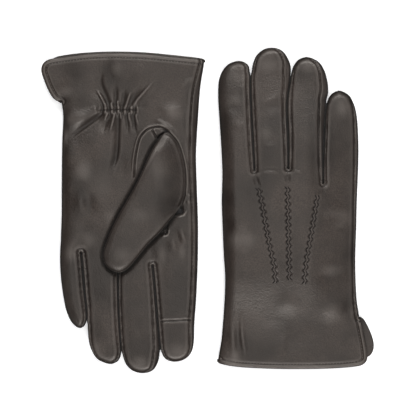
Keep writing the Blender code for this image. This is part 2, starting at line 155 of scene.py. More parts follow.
# Runs of the closed outline, from the vent round the fingertips to the cuff's index corner.
# Points are (u, v, inset of the seam on the palm layer, inset on the back layer).
OUTLINES = {
    "left": [
        ("little_out", [
            (52.6, 39, 0, 3), (51.2, 50, 0, 3), (51.9, 69, 0, 3), (52.3, 97, 0, 3), (52.4, 125, 0, 3),
            (53, 145, 0, 3), (53.7, 163, 0, 3), (52.4, 182, 0, 3), (49.6, 199, 0, 3), (46.6, 208, 0, 2.5),
            (43.2, 213.2, 0, 1.6), (38.6, 216.2, 0.9, 1)]),
        ("little_in", [
            (34.8, 214.6, 1.6, 1.2), (33.1, 210, 1.8, 1.2), (33.2, 202.5, 1.9, 1.2), (34.8, 187.5, 2.4, 1.3),
            (36.4, 170, 2.3, 1.4), (36.9, 156.9, 2.6, 2)]),
        ("ring_out", [
            (35.4, 168, 3.2, 3), (33.7, 187.5, 3, 5), (32.2, 202.5, 2.7, 6), (32.0, 214, 2.5, 6),
            (31.2, 225, 2.3, 5.5), (29.7, 231.6, 2, 4.5), (26.6, 237.9, 1.6, 3), (22.8, 241.6, 1.4, 1.6),
            (15, 244.4, 1.2, 1)]),
        ("ring_in", [
            (9.8, 243.1, 1.5, 1.2), (7, 240.3, 1.8, 1.5), (5.9, 235, 2, 1.6), (7.2, 217.4, 2.5, 2.5),
            (8.2, 197.5, 2.5, 3), (8.5, 178, 2.5, 2.6), (8.0, 168, 2.5, 2)]),
        ("middle_out", [
            (7.5, 178, 2, 3), (7.2, 197.5, 1.9, 3.2), (6.2, 217.4, 1.8, 4), (4.8, 235, 1.8, 5.5),
            (2.6, 243.3, 1.7, 4), (-0.8, 247.8, 1.5, 2.5), (-5, 250.4, 1.3, 1.4), (-11, 251.6, 1.2, 1)]),
        ("middle_in", [
            (-17.2, 250.4, 2, 1.2), (-21, 247.2, 3.4, 1.5), (-23.6, 241.4, 4.5, 1.8), (-24.4, 235, 4.8, 2),
            (-24.0, 227, 4.4, 2), (-22.2, 207.4, 3.2, 2), (-20.5, 187.5, 2.6, 2), (-19.2, 174, 2.4, 2),
            (-18.9, 166.9, 2.6, 2)]),
        ("index_in", [
            (-20.0, 174, 3, 3), (-21.3, 187.5, 2.8, 3), (-23.1, 207.4, 2.6, 3), (-25.0, 227, 2.2, 3),
            (-26.0, 235, 2, 2.8), (-28.3, 239.6, 1.7, 2), (-32, 241.9, 1.5, 1.4), (-37, 242.6, 1.3, 1)]),
        ("index_out", [
            (-43, 241.2, 1.3, 0), (-47.4, 237.9, 1.5, 0), (-50.2, 233, 2.2, 0), (-51.4, 225.4, 3.2, 0),
            (-51.7, 213, 3.8, 0), (-52.9, 197, 3.9, 0), (-53.7, 182, 4, 0), (-54.4, 163, 4.1, 0),
            (-54.6, 135, 4.3, 0), (-53.7, 107, 4.5, 0), (-53, 83, 4.8, 0), (-53.5, 68, 5.2, 0),
            (-54.6, 50.7, 5.8, 0), (-55.9, 32, 5.6, 0), (-57.2, 21, 4.4, 0), (-58.3, 14.8, 3.8, 0),
            (-59.4, 7.6, 3, 0)]),
    ],
    "right": [
        ("little_out", [
            (56.3, 38.6, 0, 3), (55.6, 43, 0, 3), (54.1, 54, 0, 2.6), (53.3, 70, 0, 2.2),
            (53.1, 86.5, 0, 2.2), (53.8, 108, 0, 2.4), (54.3, 130, 0, 2.7), (55.2, 152, 0, 3.2),
            (55.6, 170, 0, 3.4), (54.9, 190, 0, 3), (53.5, 200.5, 0, 2.3), (51.6, 206.7, 0, 1.8),
            (48, 212.9, 0, 1.4), (41, 216.4, 0.9, 1)]),
        ("little_in", [
            (35.8, 214.7, 1.2, 1), (32.9, 211.8, 1.6, 1), (31.1, 207.4, 1.8, 1.1), (29.6, 195.6, 2.2, 1.3),
            (28.8, 178.6, 2.4, 1.5), (28.0, 161.7, 2.4, 1.7), (27.3, 143.8, 2.6, 2.2)]),
        ("ring_out", [
            (26.9, 161.7, 3, 3.4), (27.8, 178.6, 3, 4.6), (28.7, 195.6, 2.8, 5.4), (30.3, 208.5, 2.6, 6.2),
            (31.7, 214, 2.5, 6.4), (31.8, 219.5, 2.4, 6.2), (30.9, 225.5, 2.3, 5.8), (29.2, 231.6, 2, 4.9),
            (25.7, 237.7, 1.7, 3.4), (21.1, 241, 1.4, 2), (15.3, 242.8, 1.2, 1)]),
        ("ring_in", [
            (9.4, 241.2, 1.4, 1.2), (6, 237.9, 1.6, 1.4), (3.5, 232.6, 1.8, 1.5), (1.9, 222, 2.2, 2),
            (-0.3, 204, 2.5, 3), (0.5, 178.6, 2.6, 2.8), (-0.05, 155.2, 2.5, 2.2)]),
        ("middle_out", [
            (-0.6, 178.6, 2, 3), (-1.4, 204, 2, 3), (1.1, 221, 1.9, 5), (2.6, 232, 1.8, 6.3),
            (1.7, 238.2, 1.7, 5.4), (-0.9, 243.8, 1.6, 4), (-3.7, 247.2, 1.4, 3), (-7.6, 249.4, 1.3, 1.8),
            (-12.6, 250.1, 1.2, 1)]),
        ("middle_in", [
            (-17.4, 249.3, 2, 1.2), (-21.4, 247, 3, 1.4), (-24.8, 243.4, 4, 1.6), (-26.7, 239, 4.5, 1.8),
            (-27.9, 233, 4.6, 1.9), (-28.7, 221, 3.8, 2), (-27.9, 195.6, 3, 2.2), (-26.6, 170.2, 2.6, 2.2),
            (-26.4, 153.8, 2.6, 2.2)]),
        ("index_in", [
            (-27.5, 170.2, 2.8, 3), (-28.8, 195.6, 2.7, 3), (-29.6, 221, 2.4, 3), (-29.6, 230, 2.2, 3),
            (-30.4, 235.4, 1.9, 2.5), (-33.6, 238.6, 1.6, 1.6), (-38.8, 239.8, 1.3, 1)]),
        ("index_out", [
            (-44.9, 238, 1.3, 0), (-49.1, 234.7, 1.6, 0), (-52.7, 228.5, 2.6, 0), (-54.3, 221, 3.4, 0),
            (-54.4, 208, 3.8, 0), (-53.5, 195, 3.9, 0), (-52.2, 174, 4, 0), (-51.2, 152, 4.1, 0),
            (-51.7, 130, 4.3, 0), (-51, 108, 4.5, 0), (-50.1, 86.5, 4.8, 0), (-49.1, 72, 5.2, 0),
            (-49.3, 57, 5.8, 0), (-50.3, 40, 5.6, 0), (-51.7, 22.6, 4.4, 0), (-53, 14, 3.8, 0),
            (-54.5, 5.6, 3, 0)]),
    ],
}
# The open edges, from the index corner along the cuff and up the vent
FREE_EDGES = {
    ("left", "palm"): [
        (-59.4, 7.6), (-57.6, 6.6), (-43, 5.2), (-14, 2.4), (10, 1.5), (33, 2.4), (56, 5.4), (62.6, 6.9),
        (66.2, 9.8), (67.2, 14.6), (65.3, 21), (61.8, 29.6), (57.8, 35.8), (52.6, 39)],
    ("left", "back"): [
        (-59.4, 7.6), (-58, 5.4), (-43, 3.4), (-14, 0.6), (10, -0.2), (33, 0.6), (52, 2.9), (59, 5.2),
        (61, 9), (60, 16), (57.5, 27), (52.6, 39)],
    ("right", "palm"): [
        (-54.5, 5.6), (-52, 4.6), (-38, 2.4), (-10, 1.2), (10, 1.2), (33, 2.2), (52, 4.6), (61.5, 7.4),
        (65.7, 10.6), (67.2, 16), (65.7, 23.5), (62, 31.9), (59.3, 36.4), (56.3, 38.6)],
    ("right", "back"): [
        (-54.5, 5.6), (-53, 3.4), (-38.7, 0.8), (-14, -0.6), (10, -0.9), (33, -0.4), (50, 0.8), (57.5, 2.2),
        (60.8, 5), (61.5, 9.4), (60.3, 18), (58.2, 29), (56.3, 38.6)],
}
# Where each finger starts to bend, and where it has bent fully
BENDS = {
    "left": {"index": (168, 194), "middle": (168.5, 196), "ring": (168.5, 194), "little": (157.5, 182)},
    "right": {"index": (156, 190), "middle": (156, 190), "ring": (156, 190), "little": (145, 178)},
}
# Each pair of edges that face each other across a slit, and the v where their tips part
SLITS = {
    "left": [("little_in", "ring_out", 214), ("ring_in", "middle_out", 238), ("middle_in", "index_in", 236)],
    "right": [("little_in", "ring_out", 209), ("ring_in", "middle_out", 231), ("middle_in", "index_in", 232)],
}
# The thumb's free edge and the seam at its root
THUMB_FREE = [
    (-28.9, 62.9), (-24.4, 68), (-17.8, 78), (-9, 98), (-1.6, 111.9), (6.2, 125.5), (13.1, 139.2), (17, 149),
    (19.4, 156.7), (18.9, 162.6), (17.4, 166.5), (13.1, 170.4), (7.7, 172.2), (3.3, 171.2), (-1.6, 167.5),
    (-7.4, 160.6), (-15.2, 150.9), (-24, 142.1), (-28.9, 136.3), (-32.8, 131.4), (-36.5, 127), (-40.4, 121.6)]
THUMB_SEAM = [(-40.4, 121.6), (-43.9, 111), (-44.5, 97), (-42.7, 84.3), (-38.8, 72), (-33.6, 65), (-28.9, 62.9)]
# The line that the thumb folds over at its root, in glove coordinates, and where that bend starts and ends
FOLD_POINT, FOLD_ACROSS = np.array([-32.2, 92.2, 0]), np.array([0.9742, 0.2257, 0])
THUMB_BEND = (-3, 12)
THUMB_THICK = {"left": 8.2, "right": 7.4}
THUMB_EDGE_SHARE, THUMB_DOME = 0.4, 0.2
THUMB_ROOT_REACH, THUMB_REACH = 24.0, 7.2
# A ridge and a mound on the thumb, and how far its lining lies inside
THUMB_RIDGE = ([(-26, 71), (-14, 90), (-4, 110)], 0.4, 1.2, 3.0, (0.3, 0.3))
THUMB_SWELL = ((6, 161), (8, 7), 0.5)
LINING_GAP = 1.3
# The print of the thumb's edge in the palm and the painted shade along it: their width, and the print's depth
UNDER_THUMB, THUMB_PRINT = 2.2, 1.2


def smooth(x):
    """Eases from 0 at 0 to 1 at 1."""
    x = np.clip(x, 0, 1)
    return x * x * (3 - 2 * x)


def ramp(x, start, length):
    """Eases from 0 at start to 1 after a length."""
    return smooth((x - start) / length)


def bump(x):
    """A bell of height 1 and width about 1."""
    return np.exp(-x * x)


def profile(x, *ridges):
    """The height across a seam of ridges given as height, place and width."""
    return sum(height * bump((x - place) / width) for height, place, width in ridges)


def unit(vectors):
    """Vectors of length 1."""
    return vectors / np.maximum(np.linalg.norm(vectors, axis=1), 1e-12)[:, None]


def run_along(path):
    """The distance along a path at each of its points."""
    return np.concatenate([[0], np.cumsum(np.hypot(*np.diff(path[:, :2], axis=0).T))])


def curve(points, step=1.0):
    """A Catmull-Rom curve through points of any width, and where each point falls along its samples."""
    p = np.array(points, float)
    p = np.vstack([2 * p[0] - p[1], p, 2 * p[-1] - p[-2]])
    out, knots = [], [0]
    for i in range(1, len(p) - 2):
        a, b, c, d = p[i - 1:i + 3]
        n = max(2, int(np.hypot(*(c - b)[:2]) / step))
        t = (np.arange(n) / n)[:, None]
        cubic = 2 * b + (c - a) * t + (2 * a - 5 * b + 4 * c - d) * t ** 2 + (3 * b - a - 3 * c + d) * t ** 3
        out.append(cubic / 2)
        knots.append(knots[-1] + n)
    return np.vstack(out + [p[-2][None]]), knots


def nearest(points, line):
    """For each point: distance to the polyline, direction from it, place along it, and side (+ is left)."""
    line = line[:, :2]
    tree = kdtree.KDTree(len(line))
    for i, (x, y) in enumerate(line.tolist()):
        tree.insert((x, y, 0), i)
    tree.balance()
    find = tree.find
    hits = np.fromiter((find((x, y, 0))[1] for x, y in points.tolist()), int, len(points))
    best = np.full(len(points), 1e9)
    where = np.zeros(len(points))
    foot = np.zeros((len(points), 2))
    run = np.zeros((len(points), 2))
    for low in (np.clip(hits - 1, 0, len(line) - 2), np.clip(hits, 0, len(line) - 2)):
        a = line[low]
        ab = line[low + 1] - a
        t = np.clip(((points - a) * ab).sum(1) / np.maximum((ab ** 2).sum(1), 1e-12), 0, 1)
        near = a + t[:, None] * ab
        gap = np.hypot(*(points - near).T)
        closer = gap < best
        best = np.where(closer, gap, best)
        where = np.where(closer, low + t, where)
        foot = np.where(closer[:, None], near, foot)
        run = np.where(closer[:, None], ab, run)
    away = points - foot
    turn = run[:, 0] * away[:, 1] - run[:, 1] * away[:, 0]
    return best, away / np.maximum(best, 1e-9)[:, None], where, np.sign(turn)


def inside(points, polygon):
    """Whether each point is inside a closed polygon."""
    x, y = points[:, 0], points[:, 1]
    found = np.zeros(len(points), bool)
    for (x0, y0), (x1, y1) in zip(polygon[:, :2], np.roll(polygon[:, :2], -1, axis=0)):
        if y0 != y1:
            crosses = (y0 > y) != (y1 > y)
            found ^= crosses & (x < (x1 - x0) * (y - y0) / (y1 - y0) + x0)
    return found


class Outline:
    """A glove's closed outline with its seams, and one layer's open edge."""

    def __init__(self, side, kind):
        chain, owners = [], []
        for label, points in OUTLINES[side]:
            chain += points
            owners += [label] * len(points)
        self.closed, knots = curve(chain)
        owner_of = np.clip(np.searchsorted(knots, np.arange(len(self.closed))), 0, len(chain) - 1)
        self.owner = np.array(owners)[owner_of]
        self.close_slits(side)
        self.free, _ = curve(FREE_EDGES[(side, kind)])
        self.inset = self.closed[:, 2 if kind == "palm" else 3]
        at_side = np.isin(self.owner, SIDES)
        reach = np.clip(REACH_PER_INSET * self.inset, SLIT_REACH, STRIP_REACH)
        reach[at_side] = SIDE_REACH
        for finger in FINGERS:
            own = np.char.startswith(self.owner, finger)
            tip = self.closed[own, 1].max()
            share = smooth((self.closed[:, 1] - tip + TIP_LENGTH) / TIP_EASE)
            reach = np.where(own, reach + (TIP_REACH - reach) * share, reach)
        count = 2 * REACH_BLUR + 1
        self.reach = np.convolve(np.pad(reach, REACH_BLUR, mode="edge"), np.ones(count) / count, mode="valid")
        self.square = SQUARENESS - ROUNDER * np.clip(self.inset - ROUND_FROM, 0, ROUND_RANGE) * ~at_side
        self.ridge = np.where(at_side, SIDE_WELT, SLIT_WELT)
        self.slit = 1.0 - at_side
        self.spans = [np.nonzero(np.char.startswith(self.owner, finger))[0][[0, -1]] for finger in FINGERS]
        self.middles = []
        for pair in (("index_in", "middle_in"), ("middle_out", "ring_in"), ("ring_out", "little_in")):
            rows = [self.closed[self.owner == label] for label in pair]
            self.middles.append([r[np.argsort(r[:, 1])] for r in rows])

    def close_slits(self, side):
        """Brings neighbouring fingers' edges together up to where their tips part."""
        for inner, outer, top in SLITS[side]:
            pair = []
            for label in (inner, outer):
                own = np.nonzero(self.owner == label)[0]
                rows = self.closed[own]
                order = np.argsort(rows[:, 1])
                pair.append((own, rows[order, 1], rows[order, 0]))
            for own, _, _ in pair:
                v = self.closed[own, 1]
                middle = sum(np.interp(v, rows, us) for _, rows, us in pair) / 2
                share = smooth((top - v) / SLIT_EASE)
                first = self.closed[own, 0]
                sign = 1 if first[len(first) // 2] > middle[len(middle) // 2] else -1
                self.closed[own, 0] = first + (middle + sign * SLIT_HALF - first) * share

    def finger_of(self, p):
        """The finger, 0 the index to 3 the little one, in whose strip of the glove each point is."""
        found = np.zeros(len(p), int)
        for rows in self.middles:
            found += p[:, 0] > sum(np.interp(p[:, 1], r[:, 1], r[:, 0]) for r in rows) / 2
        return found

    def place(self, p):
        """Distance and direction from the closed outline of each point's own finger, and place along it."""
        finger = self.finger_of(p)
        d, away, where = np.zeros(len(p)), np.zeros((len(p), 2)), np.zeros(len(p))
        for i, (first, last) in enumerate(self.spans):
            own = finger == i
            if own.any():
                d[own], away[own], at, _ = nearest(p[own], self.closed[max(first - 1, 0):last + 1])
                where[own] = at + max(first - 1, 0)
        return d, away, where

    def read(self, where, values):
        """Values given for each sample of the outline, at places along it."""
        return np.interp(where, np.arange(len(values)), values)

    def regions(self, side, step):
        """The hand's polygon and the four fingers', cut along whole grid rows."""
        chain = self.closed[:, :2]
        hand, regions = [], []
        at = 0
        for finger in reversed(FINGERS):
            start = round(BENDS[side][finger][0] / step) * step
            own = np.nonzero(np.char.startswith(self.owner, finger) & (chain[:, 1] > start + 1e-6))[0]
            first, last = own[0], own[-1]
            ends = []
            for inner, outer in ((first, first - 1), (last, last + 1)):
                a, b = chain[outer], chain[inner]
                ends.append(a + (b - a) * (start - a[1]) / (b[1] - a[1]))
            regions.append(np.vstack([ends[0], chain[first:last + 1], ends[1]]))
            hand += [chain[at:first], ends[0][None], ends[1][None]]
            at = last + 1
        hand += [chain[at:], self.free[1:-1, :2]]
        return [np.vstack(hand)] + regions


# ---------------------------------------------------------------- pressed-in detail


def stroke(points, line, height, left, right, taper):
    """A ridge (height above 0) or a crease (below 0) along a line, with its own width on each side."""
    path, _ = curve(line, PATH_STEP)
    reach = 3 * max(left, right)
    box = (points > path[:, :2].min(0) - reach).all(1) & (points < path[:, :2].max(0) + reach).all(1)
    out = np.zeros(len(points))
    if not box.any():
        return out
    d, _, where, hand = nearest(points[box], path)
    share = where / (len(path) - 1)
    fade = smooth(share / max(taper[0], 1e-3)) * smooth((1 - share) / max(taper[1], 1e-3))
    out[box] = height * bump(d / np.where(hand > 0, left, right)) * fade
    return out


def swell(points, centre, radii, height):
    """A broad soft mound or hollow."""
    x = (points - np.array(centre)) / np.array(radii)
    return height * np.exp(-(x ** 2).sum(1))


def ripple(points, seed):
    """Soft irregular waves in the leather, as steep at every length."""
    draw = np.random.default_rng(seed)
    total = np.zeros(len(points))
    for _ in range(WAVES):
        length, angle, phase = (draw.uniform(*ends) for ends in (WAVE_LENGTHS, FULL_TURN, FULL_TURN))
        run = points[:, 0] * math.cos(angle) + WAVE_SQUEEZE * points[:, 1] * math.sin(angle)
        total += WAVE_SLOPE * length / (2 * math.pi) * np.sin(2 * math.pi * run / length + phase)
    return total


# How much deeper and wider the folds are pressed than the tables say
CREASE_DEPTH, CREASE_WIDTH, SOFT_WIDTH = 0.75, 1.25, 1.9
RIDGE_HEIGHT, RIDGE_WIDTH = 1.2, 0.9
BACK_WIDTH = 1.5
PALM_PUFF, BACK_PUFF = 1.4, 1.9
# How quickly a fold fades in where it starts at the gathers, and every other end, as shares of its length
SHARP_TAPER, SOFT_TAPER, AT_GATHER = 0.14, 0.5, 3.2
# Soft waves: how many, their range of lengths, slope and squeeze in v, and each layer's random seed
WAVES, WAVE_LENGTHS, WAVE_SLOPE, WAVE_SQUEEZE = 16, (20, 75), 0.011, 0.7
FULL_TURN = (0, 2 * math.pi)
PALM_WAVES, BACK_WAVES, THUMB_WAVES = 11, 12, 13

# The seam round the thumb hole, and the part of the gusset's edge that no seam shows
OVAL = [
    (-4.6, 99.3), (-5.4, 84), (-8.4, 69), (-12.8, 62.4), (-18, 59.4), (-25, 58.9), (-32.2, 63.6), (-39, 72),
    (-42.9, 84.3), (-44.7, 97), (-44.2, 111), (-41.2, 120.4)]
OVAL_CLOSE = [(-30, 122), (-8, 112)]
# The palm's gathers: the row of stitches, one ridge's u, their pitch and height, and where they end
GATHER_LINE = [(24, 45.9), (14, 45.3), (5, 45.2), (-3, 45.3), (-8.4, 45.8)]
GATHER_V, GATHER_RIDGE, GATHER_PITCH = 45.4, 7.6, 5.07
GATHER_HEIGHT, GATHER_HALF, GATHER_ENDS = 0.8, 3.4, (-10, 24)
# The three points on the back, each a ridge between two rows of leaning stitches
POINTS = [((-23.7, 139.9), (-21, 130.1), (-16.6, 104.9), (-11.1, 78.7), (-10, 65.5)),
          ((-0.7, 141), (-0.2, 116), (0.4, 90), (0.9, 67.7)),
          ((22.8, 134.5), (18.4, 107.1), (14, 83), (12.4, 64.4))]
POINT_RIDGE, POINT_GROOVE = (0.35, 1.0, 1.0, (0.03, 0.03)), (-0.45, 0.48, 0.48, (0.03, 0.03))
POINT_GAP, POINT_PITCH, POINT_SWAY = 1.1, 5.4, 0.95

# Each fold: its line, its height (below 0 presses in) and its widths left and right of the line
PALM_FOLDS = [
    ([(17.4, 43.2), (20.9, 35.8), (25.7, 28.5)], 1.3, 1.0, 1.5),
    ([(12.6, 43.6), (14, 38.8)], 0.7, 0.9, 0.9),
    ([(7.7, 44.1), (9, 36.8)], 0.8, 0.9, 0.9),
    ([(2.1, 44.1), (-0.6, 34.9), (-2.5, 30)], 0.8, 1.0, 1.0),
    ([(-3, 43.6), (-7.4, 36.8), (-16.2, 27), (-22, 20.2)], 0.9, 1.2, 2.0),
    ([(14.5, 42.6), (17.9, 33.9), (21.8, 23.2), (19.9, 12)], -2.0, 3.8, 1.8),
    ([(20.9, 39.7), (27.7, 28), (33.5, 20.2)], -1.2, 3.0, 1.6),
    ([(10.1, 43.6), (9.8, 31.9), (11.1, 24)], -1.2, 1.4, 1.4),
    ([(4.8, 43.9), (3.3, 33.9), (2.4, 27)], -1.0, 1.3, 1.3),
    ([(-0.6, 43.6), (-4.5, 33.9), (-11.3, 26)], -1.1, 1.2, 2.2),
    ([(-7, 44.4), (-14, 36), (-24, 29)], -0.6, 1.4, 2.4),
    ([(15, 46.7), (18.9, 53.4)], 0.9, 0.9, 0.9),
    ([(9.9, 46.8), (12.6, 57.3), (15, 65.1)], 0.8, 0.9, 1.3),
    ([(5.5, 46.8), (6.4, 53.4)], 0.9, 0.9, 0.9),
    ([(-0.1, 46.6), (-1.1, 55.3)], 0.8, 0.9, 0.9),
    ([(-5.5, 48), (-8.4, 59.2)], 0.6, 1.1, 1.0),
    ([(18.5, 46.6), (29.6, 55.3), (40.4, 63.1), (51.5, 72.4), (62, 81)], -2.4, 6.5, 4.0),
    ([(18.5, 46.6), (29.6, 55.3), (40.4, 63.1), (50.5, 71.6)], -1.9, 1.1, 1.5),
    ([(22, 45.9), (33, 51), (44, 58)], 1.1, 3.4, 5.5),
    ([(12.6, 47.5), (17.9, 57.3), (21, 66)], -1.3, 1.3, 1.9),
    ([(7.7, 47.1), (7.7, 59.2), (8.7, 78.7), (11.6, 90), (15, 99)], -2.8, 1.3, 2.3),
    ([(8.2, 74), (5.6, 90), (3.0, 103)], -1.2, 3.0, 2.4),
    ([(1.9, 47.2), (0.4, 57.3), (0.2, 66)], -1.1, 1.1, 1.2),
    ([(-3.5, 47.4), (-5, 59.2), (-7.4, 66)], -1.0, 1.1, 1.2),
    ([(-19, 52.6), (-25, 55.2), (-32, 60), (-39.6, 67.6)], 1.1, 1.1, 2.0),
    ([(-24, 48.8), (-33, 47), (-43, 48)], 0.5, 3.6, 3.6),
    ([(-36, 31), (-46, 24), (-54, 18)], 0.5, 1.2, 1.4),
    ([(-44, 60), (-48.5, 74), (-49, 86)], -0.7, 2.0, 1.2),
    ([(34.5, 107), (31.6, 118), (28.4, 131)], -1.7, 3.0, 2.2),
    ([(37, 106), (35.8, 118), (34, 128)], 0.7, 2.0, 3.0),
    ([(28, 130), (34, 136), (41, 140)], -0.5, 2.4, 2.0),
    ([(-39.4, 134), (-43.2, 145), (-46.4, 153)], 0.9, 1.2, 2.4),
    ([(-33, 143), (-35.2, 150), (-36.4, 160)], 0.7, 1.4, 2.0),
    ([(-37, 139), (-40, 147), (-42, 152)], -0.9, 1.4, 1.4),
    ([(-46, 113.6), (-49.6, 110.5)], 0.3, 0.8, 0.8),
    ([(-45.4, 118.6), (-49.6, 116.6)], 0.35, 0.9, 0.9),
    ([(-12, 228), (-9, 219), (-6, 213)], -0.3, 0.8, 1.6),
    ([(36.9, 154.5), (36.6, 147), (38, 141)], -0.5, 1.8, 1.8),
    ([(8.3, 166), (8.6, 158)], -0.5, 1.8, 1.8),
    ([(-18.9, 164), (-18.4, 156), (-16.6, 149)], -0.5, 1.6, 2.0),
]
# Seams beside the thumb hole's: distance from it, height, widths left and right, and taper at each end
OVAL_RIDGES = [(1.3, 0.6, 0.7, 0.9, (0.05, 0.05)), (-1.4, 0.4, 1.2, 0.8, (0.05, 0.05))]
# Tucks at the thumb's root and crotch, with the taper at each end
PALM_TUCKS = [
    ([(-18.6, 60.6), (-20.6, 64.4), (-22.4, 67.6)], -1.2, 0.6, 0.6, (0.05, 0.1)),
    ([(-19.6, 60.2), (-21.7, 63.8), (-23.5, 66.8)], 0.5, 0.6, 0.6, (0.1, 0.1)),
    ([(-29, 63.2), (-25, 65.6), (-22.6, 68.4)], -1.1, 0.7, 0.7, (0.05, 0.1)),
    ([(-35.2, 123.6), (-39.6, 124.6), (-43.4, 123.6)], -7.0, 2.0, 2.0, (0.35, 0.3)),
    ([(-34, 126.9), (-39, 128.1), (-44.4, 126.6), (-46, 122.8)], 0.9, 1.0, 1.0, (0.2, 0.3)),
    ([(-26.6, 140.6), (-28.3, 142), (-30.3, 141.4), (-30, 137.4), (-31.4, 134)],
     -1.7, 0.7, 0.7, (0.1, 0.2)),
    ([(-25.6, 142.4), (-28.2, 143.6), (-31.4, 142.4), (-32, 138)], 0.8, 0.8, 0.8, (0.2, 0.3)),
]
PALM_SWELLS = [
    ((43, 52), (9, 6), 0.9), ((38, 92), (8, 10), 0.6), ((-10, 16), (14, 9), 0.7), ((8, 15), (7, 7), 0.6),
    ((46, 28), (9, 8), 0.5), ((44, 152), (8, 10), 0.4), ((-33, 46), (7, 4), 0.5), ((22, 88), (8, 14), 0.5),
    ((-30, 20), (14, 10), 0.4), ((44, 118), (7, 18), -0.3), ((-37, 170), (12, 12), 0.3)]
BACK_FOLDS = [
    ([(-26.4, 152.6), (-14, 153.9), (-2, 152.6)], -0.5, 0.9, 1.8),
    ([(-25, 151), (-13, 151.9), (-3, 151)], 0.35, 1.2, 0.9),
    ([(2, 153), (7, 152.8), (13, 150.4)], 0.4, 0.9, 1.2),
    ([(-27, 152), (-24.8, 146), (-22, 139)], -0.8, 1.2, 1.6),
    ([(-0.2, 153), (-0.6, 142)], -0.6, 1.3, 1.3),
    ([(27.2, 141), (27, 134)], -0.35, 1.6, 1.6),
    ([(-43.7, 44), (-43, 22), (-41.5, 2)], 0.7, 2.0, 1.6),
    ([(-39.5, 42), (-39, 20), (-36.5, 2)], -0.5, 1.6, 2.0),
    ([(-36.5, 48), (-35.6, 24), (-31.5, 3)], 0.7, 1.5, 1.2),
    ([(-3, 32), (-4, 18), (-3, 6)], -0.4, 2.2, 2.2),
    ([(-47, 105), (-40, 109), (-32, 108.5), (-25, 106)], 0.7, 3.6, 3.0),
    ([(-45, 100), (-38, 97.5), (-28, 99)], -0.5, 4.0, 3.0),
    ([(-45, 92), (-34, 89.5), (-24, 92.5)], 0.4, 2.6, 4.0),
    ([(27, 116), (38, 121), (48, 117)], 0.6, 4.0, 3.0),
    ([(33, 107), (41, 110), (49, 106)], 0.5, 2.6, 2.4),
    ([(22, 78), (33, 76), (44, 79)], 0.5, 3.0, 3.6),
    ([(20, 67), (31, 71), (42, 70)], -0.4, 3.0, 3.0),
    ([(24, 44), (36, 47), (47, 52)], 0.5, 4.0, 4.0),
    ([(40, 38), (47, 46), (51, 56)], -0.5, 3.0, 3.0),
    ([(-22.5, 205), (-14, 208), (-4, 215)], 0.35, 2.0, 3.0),
    ([(-19, 203), (-12, 203.8), (-7, 207)], -0.45, 1.6, 2.4),
    ([(-50, 205), (-43, 202.4), (-36, 204)], -0.4, 2.4, 2.6),
    ([(-43, 193), (-38, 188), (-36, 182)], 0.35, 2.4, 2.4),
    ([(-22, 174), (-14, 173.2), (-8, 174)], 0.25, 1.4, 1.4),
]
BACK_SWELLS = [
    ((-34, 98), (11, 9), 0.5), ((37, 92), (9, 8), 0.4), ((-34, 218), (9, 9), 0.4), ((36, 45), (12, 8), 0.4),
    ((0, 50), (8, 7), 0.5), ((-12, 218), (8, 12), 0.3), ((38, 120), (9, 8), 0.4), ((4, 20), (20, 10), 0.3)]

# Soft patches of painted sheen, lighter (above 0), and of painted shade, darker (below 0): centre, radii,
# amount
PAINTED_SHEEN_AND_SHADE = {
    "palm": [
        ((34.3, 93.6), (7, 9), 0.26), ((-34.3, 48.3), (10, 5), 0.22), ((45.2, 53), (7, 4), 0.2),
        ((48.4, 31.2), (5, 4), 0.2), ((9.4, 12.4), (4, 6), 0.16), ((12.5, 129.4), (6, 5), 0.2),
        ((45.2, 157.5), (4, 6), 0.26), ((25, 232.4), (6, 8), 0.2), ((-9.4, 243.3), (7, 5), 0.28),
        ((-39, 234), (8, 6), 0.22), ((-26.5, 160.6), (3, 9), 0.22), ((-42.1, 156), (3, 6), 0.22),
        ((31, 147), (7, 6), 0.18), ((20, 106), (8, 12), 0.16), ((35.9, 110.7), (3.5, 8), -0.36),
        ((46, 80), (6, 8), -0.3), ((31.2, 123.2), (3, 8), -0.26), ((52, 110), (4, 16), -0.2)],
    "thumb": [
        ((-24, 92), (7, 9), 0.14), ((-10, 128), (8, 6), 0.16), ((5, 158), (8, 6), 0.16)],
    "back": [
        ((-35.1, 99.8), (9, 7), 0.3), ((33.5, 75.6), (9, 5), 0.2), ((35.1, 40.5), (11, 8), 0.17),
        ((3.9, 57.7), (8, 6), 0.1), ((-11.7, 32.7), (9, 5), 0.14), ((-41.3, 7.8), (4, 5), 0.3),
        ((42.9, 117), (7, 6), 0.2), ((-40.6, 209), (6, 5), 0.2), ((-38, 227), (8, 5), 0.2),
        ((-15.6, 236), (10, 6), 0.26), ((42.1, 202.8), (5, 7), 0.3), ((15.6, 235), (8, 5), 0.26),
        ((-17.2, 182.5), (5, 6), 0.16), ((44.5, 21.8), (7, 9), -0.26), ((-44.5, 120), (4, 10), -0.22),
        ((-18.7, 201.2), (8, 3), -0.22)],
}


def zigzag(line, offset):
    """The path of a row of stitches that lean to either side in turn."""
    path, _ = curve([(u + offset, v) for u, v in line], PATH_STEP)
    run = run_along(path)
    out = []
    for k, at in enumerate(np.arange(0, run[-1], POINT_PITCH / 2)):
        u, v = (np.interp(at, run, path[:, i]) for i in range(2))
        out.append((u + (POINT_SWAY if k % 2 else -POINT_SWAY), v))
    return out


